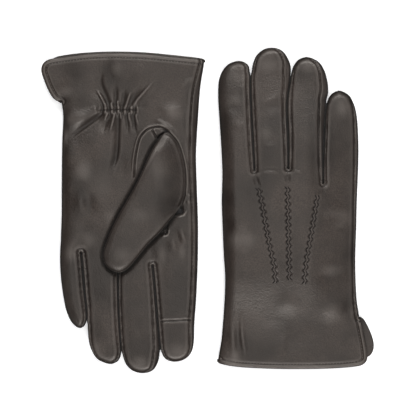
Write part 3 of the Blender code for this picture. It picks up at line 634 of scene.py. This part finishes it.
def palm_detail(p):
    """Everything pressed into a palm besides its outer seams."""
    z = ripple(p, PALM_WAVES)
    for line, height, left, right in PALM_FOLDS:
        at_gather = abs(line[0][1] - GATHER_V) < AT_GATHER
        if height < 0:
            gain, wide = CREASE_DEPTH, CREASE_WIDTH if at_gather else SOFT_WIDTH
        else:
            gain, wide = RIDGE_HEIGHT, RIDGE_WIDTH if at_gather else SOFT_WIDTH
        taper = (SHARP_TAPER if at_gather else SOFT_TAPER, SOFT_TAPER)
        z += stroke(p, line, height * gain, left * wide, right * wide, taper)
    for centre, radii, height in PALM_SWELLS:
        z += swell(p, centre, radii, PALM_PUFF * height)
    z -= THUMB_PRINT * bump(nearest(p, curve(THUMB_FREE)[0])[0] / UNDER_THUMB)
    z += stroke(p, GATHER_LINE, -0.5, 0.9, 0.9, (0.08, 0.08))
    (u, v), (first, last) = p.T, GATHER_ENDS
    row = bump((v - GATHER_V) / GATHER_HALF) * ramp(u, first, 3) * smooth((last - u) / 3)
    z += GATHER_HEIGHT * np.cos(2 * math.pi * (u - GATHER_RIDGE) / GATHER_PITCH) * row
    z += stroke(p, OVAL, -1.1, 0.55, 0.55, (0.01, 0.04))
    oval = curve(OVAL)[0][:, :2]
    for distance, *shape in OVAL_RIDGES:
        z += stroke(p, inset_line(oval, distance), *shape)
    for tuck in PALM_TUCKS:
        z += stroke(p, *tuck)
    return z


def back_detail(p):
    """Everything pressed into a back besides its outer seams."""
    z = ripple(p, BACK_WAVES)
    for line, height, left, right in BACK_FOLDS:
        z += stroke(p, line, height, left * BACK_WIDTH, right * BACK_WIDTH, (SOFT_TAPER, SOFT_TAPER))
    for centre, radii, height in BACK_SWELLS:
        z += swell(p, centre, radii, BACK_PUFF * height)
    for line in POINTS:
        z += stroke(p, line, *POINT_RIDGE)
        for offset in (-POINT_GAP, POINT_GAP):
            z += stroke(p, zigzag(line, offset), *POINT_GROOVE)
    return z


# ---------------------------------------------------------------- heights


def lift(side, p):
    """How far the tucked thumb holds the right hand up."""
    if PLACES[side][1]:
        return np.zeros(len(p))
    across, along = (ramp(x, *rise) * (1 - ramp(x, *fall)) for x, (rise, fall) in zip(p.T, (LIFT_U, LIFT_V)))
    return THUMB_LIFT * across * along


def thickness(p):
    """How thick the glove is from palm to back, away from its edges."""
    v = p[:, 1]
    return CUFF_THICK + (HAND_THICK - CUFF_THICK) * ramp(v, 15, 70) - TIP_THINNER * ramp(v, 200, 45)


def bulge(d, reach, square=SQUARENESS):
    """A rolled edge: upright at distance 0, and easing out to level at its reach."""
    x = np.clip(1 - d / reach, 0, 1)
    return (1 - x ** (square + EASE_OUT)) ** (1 / square)


def crown(line, d, where):
    """How high the face has risen at a distance from its edge: a rolled edge, then a slight dome."""
    rolled = bulge(d, line.read(where, line.reach), line.read(where, line.square))
    return (1 - DOME_SHARE) * rolled + DOME_SHARE * bulge(d, DOME)


def touch_seam(p):
    """How far a point is past the touch tip's seam, which runs slightly askew."""
    return p[:, 1] - TOUCH_SEAM - TOUCH_SLOPE * (p[:, 0] - TOUCH_U)


def on_top(side, kind):
    """Whether a layer is the one that faces up."""
    return (kind == "palm") == PLACES[side][1]


class Skin:
    """One leather layer of a glove, with the height of its outer face anywhere on it."""

    def __init__(self, side, kind):
        self.side, self.kind = side, kind
        self.top = on_top(side, kind)
        self.outline = Outline(side, kind)

    def pressed(self, p, d, where):
        """Height of the seams, folds and hem over the plain face, and how far into a slit each point is."""
        line = self.outline
        inset = line.read(where, line.inset)
        seam = ramp(inset, 0.8, 0.9)
        across = d - inset
        pucker = 1 + PUCKER * np.sin(2 * math.pi * where / PUCKER_PITCH)
        groove = seam * (profile(across, GROOVE) * pucker + profile(across, SHOULDER))
        welt = seam * line.read(where, line.ridge) * profile(across, WELT)
        hem = profile(nearest(p, line.free)[0], *HEM_PROFILE)
        if self.kind == "palm":
            tip = (p[:, 0] < -22) & (p[:, 1] > 190) & (across > -0.5)
            groove = groove + np.where(tip, profile(touch_seam(p), *TOUCH_PROFILE), 0)
        detail = palm_detail(p) if self.kind == "palm" else back_detail(p)
        folds = (detail - DETAIL_SINK) * smooth(d / DETAIL_FADE)
        pressed = folds + hem + (groove + welt) * smooth(d / SEAM_FADE)
        return pressed, bump(d / SEAM_FADE) * line.read(where, line.slit)

    def height(self, p, near=None):
        """Height of the outer face, and how far into a slit each point is."""
        d, _, where = near or self.outline.place(p)
        thick = thickness(p)
        edge = EDGE_SHARE * thick
        rise = crown(self.outline, d, where)
        pressed, slit = self.pressed(p, d, where)
        middle = lift(self.side, p) + edge
        if self.top:
            return middle + (thick - edge) * rise + pressed, slit
        flat = UNDER_SHARE * rise * smooth(1 + lift(self.side, p) / 2)
        z = middle - edge * rise - pressed * flat
        return np.maximum(z, 0.02), slit

    def inner_height(self, p, d, where):
        """Height of the inside face, two layers of leather below the outside."""
        thick = thickness(p)
        edge = EDGE_SHARE * thick
        rise = crown(self.outline, d, where)
        sunk = 2 * FOLD + (PLAY if self.top else 0) * ramp(p[:, 1], 6, 16)
        room = np.maximum((thick - edge if self.top else edge) - sunk, 0.3)
        return lift(self.side, p) + edge + (room if self.top else -room) * rise


# ---------------------------------------------------------------- grids


def grid_in(polygon, step):
    """Vertices and quads of a square grid over a polygon, with its border moved onto the polygon."""
    low, high = np.floor(polygon.min(0) / step) - 1, np.ceil(polygon.max(0) / step) + 1
    us, vs = np.arange(low[0], high[0] + 1) * step, np.arange(low[1], high[1] + 1) * step
    gu, gv = np.meshgrid(us, vs)
    points = np.column_stack([gu.ravel(), gv.ravel()])
    d, away, _, _ = nearest(points, dense(np.vstack([polygon, polygon[:1]])))
    within = inside(points, polygon)
    kept = (within | (d < 0.5 * step)).reshape(len(vs), len(us))
    cells = kept[:-1, :-1] & kept[1:, :-1] & kept[:-1, 1:] & kept[1:, 1:]
    r, c = np.nonzero(cells)
    w = len(us)
    quads = np.column_stack([r * w + c, r * w + c + 1, (r + 1) * w + c + 1, (r + 1) * w + c])
    uses = np.bincount(quads.ravel(), minlength=len(points))
    border = (uses > 0) & (uses < 4)
    points = np.where(border[:, None], points - away * d[:, None], points)
    used = np.nonzero(uses)[0]
    new = np.full(len(points), -1)
    new[used] = np.arange(len(used))
    return points[used], new[quads], border[used]


def dense(line):
    """A polyline with points added so that none of its pieces is much longer than a millimetre."""
    out = []
    for a, b in zip(line, line[1:]):
        n = max(1, int(np.hypot(*(b - a))))
        out.append(a + (b - a) * (np.arange(n) / n)[:, None])
    return np.vstack(out + [line[-1:]])


def weld(points, quads, border):
    """Joins vertices that lie at the same place."""
    key = np.round(points * 50).astype(np.int64)
    _, first, back = np.unique(key, axis=0, return_index=True, return_inverse=True)
    back = back.ravel()
    quads = back[quads]
    good = np.array([len(set(q)) for q in quads.tolist()]) == 4
    return points[first], quads[good], border[first], good


def vertex_normals(points, quads):
    """Each vertex's normal, from the quads round it by their area."""
    a, b, c, d = (points[quads[:, i]] for i in range(4))
    n = np.cross(c - a, d - b)
    out = np.zeros_like(points)
    for axis in range(3):
        for i in range(4):
            out[:, axis] += np.bincount(quads[:, i], n[:, axis], len(points))
    return unit(out)


def relief(points, quads, normals):
    """How far each vertex stands out on a ridge (above 0, to 1) or lies in a groove (below 0, to -1)."""
    pairs = np.vstack([quads[:, [i, (i + 1) % 4]] for i in range(4)])
    run = points[pairs[:, 1]] - points[pairs[:, 0]]
    turn = ((normals[pairs[:, 1]] - normals[pairs[:, 0]]) * run).sum(1) / np.maximum((run ** 2).sum(1), 1e-6)
    value = np.clip(averaged(pairs, turn, turn, len(points)), -MOST_CURVED, MOST_CURVED)
    for _ in range(2):
        value = averaged(pairs, value[pairs[:, 1]], value[pairs[:, 0]], len(points))
    return np.clip(RELIEF_GAIN * value, -1, 1)


def averaged(pairs, first, second, count):
    """The mean over each vertex's edges, first for the edges' starts and second for their ends."""
    total = np.bincount(pairs[:, 0], first, count) + np.bincount(pairs[:, 1], second, count)
    return total / np.maximum(np.bincount(pairs.ravel(), minlength=count), 1)


def painted_sheen_and_shade(kind, p):
    """How far patches of painted sheen lighten, or of painted shade darken, the leather."""
    return sum(swell(p, centre, radii, amount) for centre, radii, amount in PAINTED_SHEEN_AND_SHADE[kind])


def less_wear_and_highlight(wear_and_painted_light, share):
    """Wear and painted light with only a share of its ridges' lightening, wear and painted highlight, kept."""
    return np.where(wear_and_painted_light > 0, wear_and_painted_light * share, wear_and_painted_light)


def crowd(p, d, away, moves, zone, power):
    """Crowds points towards an edge, and gives their new places and distances from it."""
    move = np.where((d < zone) & moves, zone * np.clip(d / zone, 0, 1) ** power - d, 0)
    return p + away * move[:, None], d + move


def to_world(side, points):
    """Glove coordinates to the CAD's frame, still in millimetres."""
    (x, y), _ = PLACES[side]
    turn = -1 if side == "left" else 1
    out = points.copy()
    out[:, 0] = x + turn * points[:, 0]
    out[:, 1] = y + turn * points[:, 1]
    return out


def turn_normals(side, normals):
    """Normals in glove coordinates to the CAD's frame."""
    return normals * np.array([-1, -1, 1]) if side == "left" else normals


# The parts of each piece, by its name: points, quads, normals, and wear with painted light and shade
PIECES = {}


def collect(side, name, points, quads, normals=None, wear_and_painted_light=None):
    """Adds faces, in glove coordinates, to the piece that stands for a CAD node."""
    if len(quads):
        normals = vertex_normals(points, quads) if normals is None else normals
        wear_and_painted_light = np.zeros(len(points)) if wear_and_painted_light is None else wear_and_painted_light
        PIECES.setdefault(f"{side}_{name}", []).append(
            (to_world(side, points), quads, turn_normals(side, normals), wear_and_painted_light))


def region_grid(skin, step):
    """The grid of a whole layer, with each face's region: 0 the hand, 1 to 4 little finger to index."""
    points, quads, border, region = [], [], [], []
    count = 0
    for i, polygon in enumerate(skin.outline.regions(skin.side, step)):
        p, q, b = grid_in(polygon, step)
        points.append(p)
        quads.append(q + count)
        border.append(b)
        region.append(np.full(len(q), i))
        count += len(p)
    p, q, b, good = weld(np.vstack(points), np.vstack(quads), np.concatenate(border))
    return p, q, b, np.concatenate(region)[good]


def add_skin(side, kind, step):
    """Builds one leather layer and shares its faces out among the panels."""
    skin = Skin(side, kind)
    line = skin.outline
    p, quads, border, region = region_grid(skin, step)
    d, away, where = line.place(p)
    rows = np.isin(np.round(p[:, 1], 4), [round(round(b[0] / step) * step, 4) for b in BENDS[side].values()])
    moves = ~border & ~rows
    p, d = crowd(p, d, away, moves, *SKIN_CROWD)
    inset = line.read(where, line.inset)
    near_seam = (np.abs(d - inset) < 0.5 * step) & (inset > 0.5) & moves
    shift = np.where(near_seam, inset - d, 0)
    p, d = p + away * shift[:, None], d + shift
    z, slit = skin.height(p, (d, away, where))
    points = np.column_stack([p, z])
    if not skin.top:
        quads = quads[:, ::-1]
    normals = vertex_normals(points, quads)
    # From the relief, ridges take wear and painted highlight, and grooves take painted shade
    wear_and_painted_light = less_wear_and_highlight(relief(points, quads, normals), ramp(d, *EDGE_WEAR_AND_HIGHLIGHT))
    # Soft patches of painted sheen and painted shade are added, and the slits between the fingers take full
    # painted shade
    wear_and_painted_light = np.minimum(wear_and_painted_light + painted_sheen_and_shade(kind, p) * ramp(d, 1, 5), 1 - 2 * slit)
    if kind == "palm":
        gap = nearest(p, curve(THUMB_FREE)[0])[0]
        # The palm beside the thumb's edge takes a line of painted shade, and keeps less of its ridge lightening
        wear_and_painted_light = np.maximum(less_wear_and_highlight(wear_and_painted_light, ramp(gap, *THUMB_WEAR_AND_HIGHLIGHT)) - bump(gap / UNDER_THUMB), -1)
    tall = thickness(p) * (1 - EDGE_SHARE if skin.top else EDGE_SHARE)
    slope = tall * (crown(line, d + SMALL, where) - crown(line, d, where)) / SMALL
    normals = roll_normals(normals, d, away, slope, 1 if skin.top else -1)
    names = panel_names(skin, p[quads].mean(1), region)
    for name in sorted(set(names)):
        collect(side, name, points, quads[names == name], normals, wear_and_painted_light)
    add_rim(skin)
    return skin


def roll_normals(normals, d, away, slope, up):
    """Takes the normals of a rolled edge from its profile, where the grid is coarse for so tight a curve."""
    rolled = unit(np.column_stack([-away * slope[:, None], np.full(len(d), float(up))]))
    share = ramp(d, 0.4, 1.2)[:, None]
    return unit(normals * share + rolled * (1 - share))


def panel_names(skin, centre, region):
    """Which panel each face belongs to."""
    line, kind = skin.outline, skin.kind
    d, _, where = line.place(centre)
    inset = line.read(where, line.inset)
    owner = line.owner[np.clip(np.round(where).astype(int), 0, len(line.owner) - 1)]
    beyond = (d < inset) & (inset > 0.5)
    finger = np.where(region > 0, 4 - region, -1)
    names = np.full(len(centre), kind + "_panel", dtype=object)
    for i, name in enumerate(FINGERS):
        names[finger == i] = f"{name}_{kind}"
    if kind == "palm":
        names[(finger == 0) & (touch_seam(centre) > 0)] = "index_touch_tip"
        names[beyond & (owner == "index_out") & (finger < 0)] = "back_panel"
        names[beyond & (owner == "index_out") & (finger == 0)] = "index_back"
        oval, _ = curve(OVAL + OVAL_CLOSE + OVAL[:1])
        names[inside(centre, oval[:, :2]) & (finger < 0) & ~beyond] = "thumb_gusset"
    else:
        names[beyond & (owner == "little_out") & (finger < 0)] = "palm_panel"
        names[beyond & (owner == "little_out") & (finger == 3)] = "little_palm"
    for run, place in WALLS:
        name = run.split("_")[0]
        names[beyond & (owner == run) & (finger == FINGERS.index(name))] = f"{name}_fourchette_{place}"
    return names


def sweep(rings):
    """Points and quads of a strip through rings of the same number of points."""
    n, m = len(rings), len(rings[0])
    i, j = np.meshgrid(np.arange(n - 1), np.arange(m - 1), indexing="ij")
    a = (i * m + j).ravel()
    return np.vstack(rings), np.column_stack([a, a + 1, a + m + 1, a + m])


def rightward(line):
    """The unit direction to the right of a line at each of its points."""
    tangent = unit(np.gradient(line, axis=0))
    return np.column_stack([tangent[:, 1], -tangent[:, 0]])


def add_rim(skin):
    """The folded edge round the cuff and the vent, from the outside of the leather to its inside."""
    line = skin.outline.free[:, :2]
    z, _ = skin.height(line)
    out = rightward(line)
    sign = 1 if skin.top else -1
    rings = []
    for angle in np.linspace(0, math.pi, RIM_STEPS):
        drop = sign * FOLD * (1 - math.cos(angle))
        rings.append(np.column_stack([line + out * FOLD * math.sin(angle), np.maximum(z - drop, 0)]))
    points, quads = sweep(rings)
    if skin.top:
        quads = quads[:, ::-1]
    collect(skin.side, skin.kind + "_panel", points, quads)


def add_inside(skin):
    """The leather facing inside the cuff, and the cloth lining beyond it."""
    p, quads, _, region = region_grid(skin, INNER_STEP)
    d, away, where = skin.outline.place(p)
    z = skin.inner_height(p, d, where)
    p = p + away * (WALL * np.exp(-d / 4))[:, None]
    points = np.column_stack([p, z])
    if skin.top:
        quads = quads[:, ::-1]
    normals = vertex_normals(points, quads)
    centre = p[quads].mean(1)
    names = np.where(centre[:, 1] < FACING_TOP, "cuff_facing", "hand_lining").astype(object)
    for i, finger in enumerate(reversed(FINGERS)):
        names[region == i + 1] = finger + "_lining"
    for name in sorted(set(names)):
        collect(skin.side, name, points, quads[names == name], normals)


def add_elastic(skin):
    """The elastic sewn inside the palm at the wrist, shirred with the leather."""
    sign, outer = (1, 1 - EDGE_SHARE) if skin.top else (-1, EDGE_SHARE)
    us = np.linspace(*ELASTIC_U, ELASTIC_STEPS)
    rings = []
    for dv, dz in ELASTIC_RING:
        p = np.column_stack([us, np.full(len(us), ELASTIC_V + dv)])
        z = lift(skin.side, p) + EDGE_SHARE * thickness(p)
        z = z + sign * (outer * thickness(p) - ELASTIC_DEPTH + dz + SHIRR * np.sin(us * SHIRR_TURN))
        rings.append(np.column_stack([p, np.maximum(z, 0.2)]))
    points, quads = sweep(rings)
    collect(skin.side, "wrist_elastic", points, quads)


def add_thumb(palm, step):
    """The thumb, folded over the palm: an outer panel, an inner panel against the palm, and a lining."""
    free, _ = curve(THUMB_FREE)
    seam, _ = curve(THUMB_SEAM)
    polygon = np.vstack([free, seam[1:-1]])
    side = palm.side
    sign = 1 if palm.top else -1
    for name, outward, size in (("thumb_outer", 1, step), ("thumb_inner", -1, 1.5 * step),
                                ("thumb_lining", 1, INNER_STEP), ("thumb_lining", -1, INNER_STEP)):
        p, quads, border = grid_in(polygon, size)
        d, away, _, _ = nearest(p, free)
        p, d = crowd(p, d, away, ~border, *THUMB_CROWD)
        root, root_away, _, _ = nearest(p, seam)
        thick = THUMB_THICK[side] * np.sin(np.clip(root / THUMB_ROOT_REACH, 0, 1) * math.pi / 2)
        edge = THUMB_EDGE_SHARE * thick
        rise, more = ((1 - THUMB_DOME) * bulge(x, THUMB_REACH) + THUMB_DOME * bulge(x, 2 * THUMB_REACH)
                      for x in (d, d + SMALL))
        base = lift(side, p) + (thickness(p) if palm.top else 0)
        detail = ripple(p, THUMB_WAVES) * smooth(d / DETAIL_FADE) * smooth(root / 8)
        detail = detail + stroke(p, *THUMB_RIDGE) + profile(root, THUMB_SEAM_PROFILE) + swell(p, *THUMB_SWELL)
        if name == "thumb_lining":
            for direction, distance in ((away, d), (root_away, root)):
                p = p + direction * (LINING_GAP * np.exp(-distance / 3))[:, None]
            edge = edge + 0.1
            room = np.maximum((thick - edge if outward > 0 else edge) * rise - LINING_GAP, 0)
            h = np.maximum(edge + outward * room, 0.15)
        elif outward > 0:
            h = edge + (thick - edge) * rise + detail + 0.15
        else:
            h = edge - (edge - 0.12) * rise + 0.1
        points = np.column_stack([p, np.maximum(base + sign * h, 0.01)])
        if (outward > 0) != palm.top:
            quads = quads[:, ::-1]
        normals = vertex_normals(points, quads)
        if name != "thumb_lining":
            slope = (thick - edge if outward > 0 else edge) * (more - rise) / SMALL
            normals = roll_normals(normals, d, away, slope, outward * sign)
        # The thumb's ridges take wear and painted highlight, its grooves painted shade, and it gets soft
        # patches of painted sheen
        wear_and_painted_light = less_wear_and_highlight(relief(points, quads, normals), ramp(d, *EDGE_WEAR_AND_HIGHLIGHT)) + painted_sheen_and_shade("thumb", p)
        collect(side, name, points, quads, normals, wear_and_painted_light)


def add_stitches(skin, name, ends, radius):
    """Short threads laid on a layer: each from one (u, v) point to another, dipping in at both ends."""
    ends = np.array(ends)
    shares = np.linspace(0, 1, THREAD_STEPS)
    mids = ends[:, None, 0] + (ends[:, None, 1] - ends[:, None, 0]) * shares[None, :, None]
    z, _ = skin.height(mids.reshape(-1, 2))
    z = z.reshape(len(ends), len(shares))
    sign = 1 if skin.top else -1
    angles = 2 * math.pi * np.arange(THREAD_SIDES + 1) / THREAD_SIDES
    for i in range(len(ends)):
        along = ends[i, 1] - ends[i, 0]
        across = np.array([-along[1], along[0]]) / max(np.hypot(*along), 1e-9)
        rings = []
        for k, share in enumerate(shares):
            r = radius * (0.35 + 0.65 * math.sin(math.pi * (0.12 + 0.76 * share)))
            high = z[i, k] + sign * (THREAD_RISE * math.sin(math.pi * share) - THREAD_SINK)
            ring = [(*(mids[i, k] + across * r * math.cos(a)), high + r * math.sin(a)) for a in angles]
            rings.append(np.array(ring))
        points, quads = sweep(rings)
        points[:, 2] = np.maximum(points[:, 2], 0.0)
        collect(skin.side, name, points, quads)


def dashes(line, pitch, length):
    """Stitches along a line."""
    path, _ = curve(line, PATH_STEP)
    run = run_along(path)
    out = []
    for start in np.arange(pitch, run[-1] - pitch, pitch):
        out.append([[np.interp(at, run, path[:, i]) for i in range(2)] for at in (start, start + length)])
    return out


def inset_line(line, distance):
    """Every fourth point of a line moved to its left by a distance, without its ends."""
    return (line - rightward(line) * distance)[4:-4:4]


def add_threads(skin):
    """The stitches that show on a layer: the hem's, and the back's points or the palm's gathers."""
    hem = inset_line(skin.outline.free[:, :2], HEM)
    add_stitches(skin, "hem_thread", dashes(hem.tolist(), *HEM_STITCH), HEM_THREAD)
    if skin.kind == "back":
        for line in POINTS:
            for offset, radius in zip((-POINT_GAP, POINT_GAP), POINT_THREADS):
                bends = zigzag(line, offset)
                add_stitches(skin, "point_thread", list(zip(bends, bends[1:])), radius)
    else:
        add_stitches(skin, "gather_thread", dashes(GATHER_LINE, *GATHER_STITCH), GATHER_THREAD)


def build_pieces(side):
    """Makes every piece of one glove."""
    for kind in ("palm", "back"):
        skin = add_skin(side, kind, FINE if on_top(side, kind) else COARSE)
        add_inside(skin)
        add_threads(skin)
        if kind == "palm":
            add_elastic(skin)
            add_thumb(skin, FINE if skin.top else COARSE)


# ---------------------------------------------------------------- objects


def linked(name, data):
    """A new object in the scene."""
    obj = bpy.data.objects.new(name, data)
    bpy.context.scene.collection.objects.link(obj)
    return obj


def make_piece(name, parts):
    """One object from a piece's parts, with their normals and the relief attribute."""
    verts, faces, normals, wear_and_painted_light = [], [], [], []
    offset = 0
    for points, quads, norms, worn_and_painted_light in parts:
        used = np.unique(quads)
        new = np.full(len(points), -1)
        new[used] = np.arange(len(used))
        verts.append(points[used] * MM)
        normals.append(norms[used])
        wear_and_painted_light.append(worn_and_painted_light[used])
        faces.append(new[quads] + offset)
        offset += len(used)
    mesh = bpy.data.meshes.new(name + "_mesh")
    mesh.from_pydata(np.vstack(verts).tolist(), [], np.vstack(faces).tolist())
    mesh.shade_smooth()
    mesh.normals_split_custom_set_from_vertices(np.vstack(normals).tolist())
    attribute = mesh.attributes.new("relief", "FLOAT", "POINT")
    attribute.data.foreach_set("value", np.concatenate(wear_and_painted_light).astype(np.float32))
    return linked(name + "_skin", mesh)


# ---------------------------------------------------------------- materials


def feed(tree, made, inputs):
    """Links or sets a node's inputs, by name or number."""
    for key, value in inputs.items():
        if isinstance(value, bpy.types.NodeSocket):
            tree.links.new(value, made.inputs[key])
        else:
            made.inputs[key].default_value = value
    return made


def node(tree, kind, inputs, **settings):
    """A new shader node."""
    made = tree.nodes.new("ShaderNode" + kind)
    for name, value in settings.items():
        setattr(made, name, value)
    return feed(tree, made, inputs)


def noise(tree, coords, scale, detail):
    """Soft random values; a scale of 1000 has spots of about a millimetre."""
    return node(tree, "TexNoise", {"Vector": coords, "Scale": scale, "Detail": detail}).outputs["Fac"]


def ranged(tree, value, low, high, to_low, to_high):
    """A value moved from one range to another, and kept inside it."""
    return node(tree, "MapRange", {"Value": value, "From Min": low, "From Max": high,
                                   "To Min": to_low, "To Max": to_high}).outputs["Result"]


def mixed(tree, factor, a, b):
    """A colour between a, at factor 0, and b, at 1."""
    return node(tree, "Mix", {6: a, 7: b, 0: factor}, data_type="RGBA").outputs[2]


def bumped(tree, height, strength, distance, below=None):
    """A normal from a height, on top of another normal if one is given."""
    inputs = {"Height": height, "Strength": strength, "Distance": distance}
    if below is not None:
        inputs["Normal"] = below
    return node(tree, "Bump", inputs).outputs["Normal"]


def wave(tree, coords, scale, distortion, direction):
    """Soft stripes."""
    inputs = {"Vector": coords, "Scale": scale, "Distortion": distortion}
    return node(tree, "TexWave", inputs, bands_direction=direction).outputs["Fac"]


def new_material(name):
    """A new material, its node tree, object coordinates and its shader."""
    made = bpy.data.materials.new(name)
    made.use_nodes = True
    tree = made.node_tree
    coords = node(tree, "TexCoord", {}).outputs["Object"]
    return made, tree, coords, tree.nodes["Principled BSDF"]


def leather(name, light, dark, rough, grain=1.0):
    """Fine nappa: soft mottling, painted shade in the seams and grooves, worn leather with painted highlight on
    ridges, a pebbled grain with creases, satin sheen.
    """
    made, tree, coords, shader = new_material(name)
    mottle = ranged(tree, noise(tree, coords, 32, 3), 0.36, 0.64, 0, 1)
    colour = mixed(tree, mottle, dark, light)
    speckle = ranged(tree, noise(tree, coords, 900, 4), 0.35, 0.65, 0.7, 0)
    colour = mixed(tree, speckle, colour, dark)
    height = node(tree, "Attribute", {}, attribute_name="relief").outputs["Fac"]
    # sunk: where the relief lies in a groove; there the colour takes painted shade and the leather is rougher
    sunk = ranged(tree, height, -0.85, -0.08, 1, 0)
    # Ridges lighter: partly worn leather and partly painted highlight
    worn_and_painted_light = ranged(tree, height, 0.03, 0.6, 0, 1)
    colour = mixed(tree, sunk, colour, tuple(c * GROOVE_SHADE_DARKNESS for c in dark[:3]) + (1,))
    colour = mixed(tree, worn_and_painted_light, colour, WORN_AND_HIGHLIGHT)
    tone = ranged(tree, noise(tree, coords, 60, 5), 0.3, 0.7, rough - 0.05, rough + 0.07)
    dull = node(tree, "Math", {0: sunk, 1: 0.35, 2: tone}, operation="MULTIPLY_ADD")
    pebble = node(tree, "TexVoronoi", {"Vector": coords, "Scale": 900}).outputs["Distance"]
    soft = bumped(tree, noise(tree, coords, 170, 3), 0.25 * grain, 0.0006)
    fine = bumped(tree, noise(tree, coords, 650, 3), 0.26 * grain, 0.0004, soft)
    normal = bumped(tree, pebble, 0.24 * grain, 0.0003, fine)
    feed(tree, shader, {"Base Color": colour, "Roughness": dull.outputs[0], "Normal": normal,
                        "Specular IOR Level": 0.46, "Specular Tint": (1.0, 0.937, 0.873, 1),
                        "Sheen Weight": 0.04, "Sheen Roughness": 0.5})
    return made


def cloth(name, light, dark, scale):
    """A fine knitted cloth, for the lining and the elastic."""
    made, tree, coords, shader = new_material(name)
    ribs = bumped(tree, wave(tree, coords, scale, 1.5, "X"), 0.5, 0.0005)
    rows = bumped(tree, wave(tree, coords, scale * 0.6, 1.0, "Y"), 0.4, 0.0004, ribs)
    feed(tree, shader, {"Base Color": mixed(tree, noise(tree, coords, 40, 4), dark, light), "Normal": rows,
                        "Roughness": ranged(tree, noise(tree, coords, 300, 2), 0.3, 0.7, 0.8, 0.95),
                        "Sheen Weight": 0.3})
    return made


def thread(name, light, dark):
    """Twisted sewing thread."""
    made, tree, coords, shader = new_material(name)
    twist = wave(tree, coords, 700, 2.0, "DIAGONAL")
    feed(tree, shader, {"Base Color": mixed(tree, twist, dark, light),
                        "Normal": bumped(tree, twist, 0.4, 0.0002),
                        "Roughness": ranged(tree, noise(tree, coords, 500, 2), 0.3, 0.7, 0.5, 0.65),
                        "Specular IOR Level": 0.25})
    return made


# ---------------------------------------------------------------- the studio


def camera():
    """The photograph's view: straight down from far away."""
    cam = bpy.data.cameras.new("camera")
    cam.lens, cam.sensor_width = LENS, SENSOR
    obj = linked("camera", cam)
    obj.location = CAMERA_AT
    bpy.context.scene.camera = obj


def light(name, location, size, power):
    """A soft box."""
    data = bpy.data.lights.new(name, "AREA")
    data.shape = "RECTANGLE"
    data.size, data.size_y = size
    data.energy = power
    obj = linked(name, data)
    obj.location = location
    obj.rotation_euler = (AIM - Vector(location)).to_track_quat("-Z", "Y").to_euler()


def studio():
    """A pale floor and a round backdrop, both staging, and the lights."""
    world = bpy.data.worlds.new("studio")
    bpy.context.scene.world = world
    bpy.context.scene.view_settings.view_transform = "Standard"
    world.use_nodes = True
    feed(world.node_tree, world.node_tree.nodes["Background"], {"Color": WHITE, "Strength": WORLD_LIGHT})
    turns = np.linspace(0, 2 * math.pi, ROOM_SIDES, endpoint=False)
    ring = [(ROOM * math.cos(a), ROOM * math.sin(a)) for a in turns]
    ground = bpy.data.meshes.new("floor_mesh")
    ground.from_pydata([(x, y, FLOOR_Z) for x, y in ring], [], [tuple(range(ROOM_SIDES))])
    floor = linked("floor", ground)
    wall = bpy.data.meshes.new("backdrop_mesh")
    wall.from_pydata([(x, y, z) for z in (FLOOR_Z, ROOM) for x, y in ring], [],
                     [(i, (i + 1) % ROOM_SIDES, (i + 1) % ROOM_SIDES + ROOM_SIDES, i + ROOM_SIDES)
                      for i in range(ROOM_SIDES)])
    backdrop = linked("backdrop", wall)
    paper, tree, coords, shader = new_material("paper")
    away = node(tree, "VectorMath", {0: coords}, operation="LENGTH").outputs["Value"]
    colour = mixed(tree, noise(tree, coords, 3, 2), (0.93, 0.93, 0.93, 1), (0.95, 0.95, 0.95, 1))
    feed(tree, shader, {"Base Color": colour, "Roughness": 0.95, "Specular IOR Level": 0.1,
                        "Emission Color": WHITE,
                        "Emission Strength": ranged(tree, away, 0.25, 1.0, 0.3, 1)})
    ground.materials.append(paper)
    board, tree, coords, shader = new_material("backdrop_board")
    colour = mixed(tree, noise(tree, coords, 2, 2), (0.97, 0.97, 0.97, 1), WHITE)
    feed(tree, shader, {"Emission Color": colour, "Emission Strength": 1.0})
    wall.materials.append(board)
    backdrop.visible_shadow = False
    for stage in (floor, backdrop):
        stage.visible_glossy = False
        stage.visible_diffuse = False
    for row in LIGHTS:
        light(*row)


# ---------------------------------------------------------------- the model


def attach(obj, side, rest):
    """Makes a piece move with the hand; for a finger's or thumb's piece it works out the ends of the bend but
    only bakes the transform.
    """
    digit = rest.split("_")[0]
    if digit in FINGERS:
        ends = np.array([[0, v, 0] for v in BENDS[side][digit]], float)
    elif digit == "thumb" and rest != "thumb_gusset":
        ends = np.array([FOLD_POINT + FOLD_ACROSS * s for s in THUMB_BEND])
    else:
        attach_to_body(obj, side + "_hand")
        return
    start, end = to_world(side, ends) * MM
    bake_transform(obj)


def main():
    for side in PLACES:
        build_pieces(side)
    finishes = {"leather": leather("nappa", *NAPPA, 0.40),
                "touch_leather": leather("touch_nappa", *TOUCH_NAPPA, 0.37, 0.8),
                "lining": cloth("lining_knit", *LINING_KNIT, 420),
                "elastic": cloth("elastic_ribbon", *ELASTIC_RIBBON, 700)}
    pale, dark = thread("sewing_thread", *PALE_SEWING), thread("dark_thread", *DARK_SEWING)
    threads = {"hem_thread": pale, "gather_thread": dark, "point_thread": dark}
    for name, parts in sorted(PIECES.items()):
        obj = make_piece(name, parts)
        side, _, rest = name.partition("_")
        slot = "leather"
        for word, kind in (("lining", "lining"), ("elastic", "elastic"), ("touch_tip", "touch_leather")):
            if word in name:
                slot = kind
        obj.data.materials.append(threads.get(rest, finishes[slot]))
        attach(obj, side, rest)
        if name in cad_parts:
            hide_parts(name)
    studio()
    camera()


main()
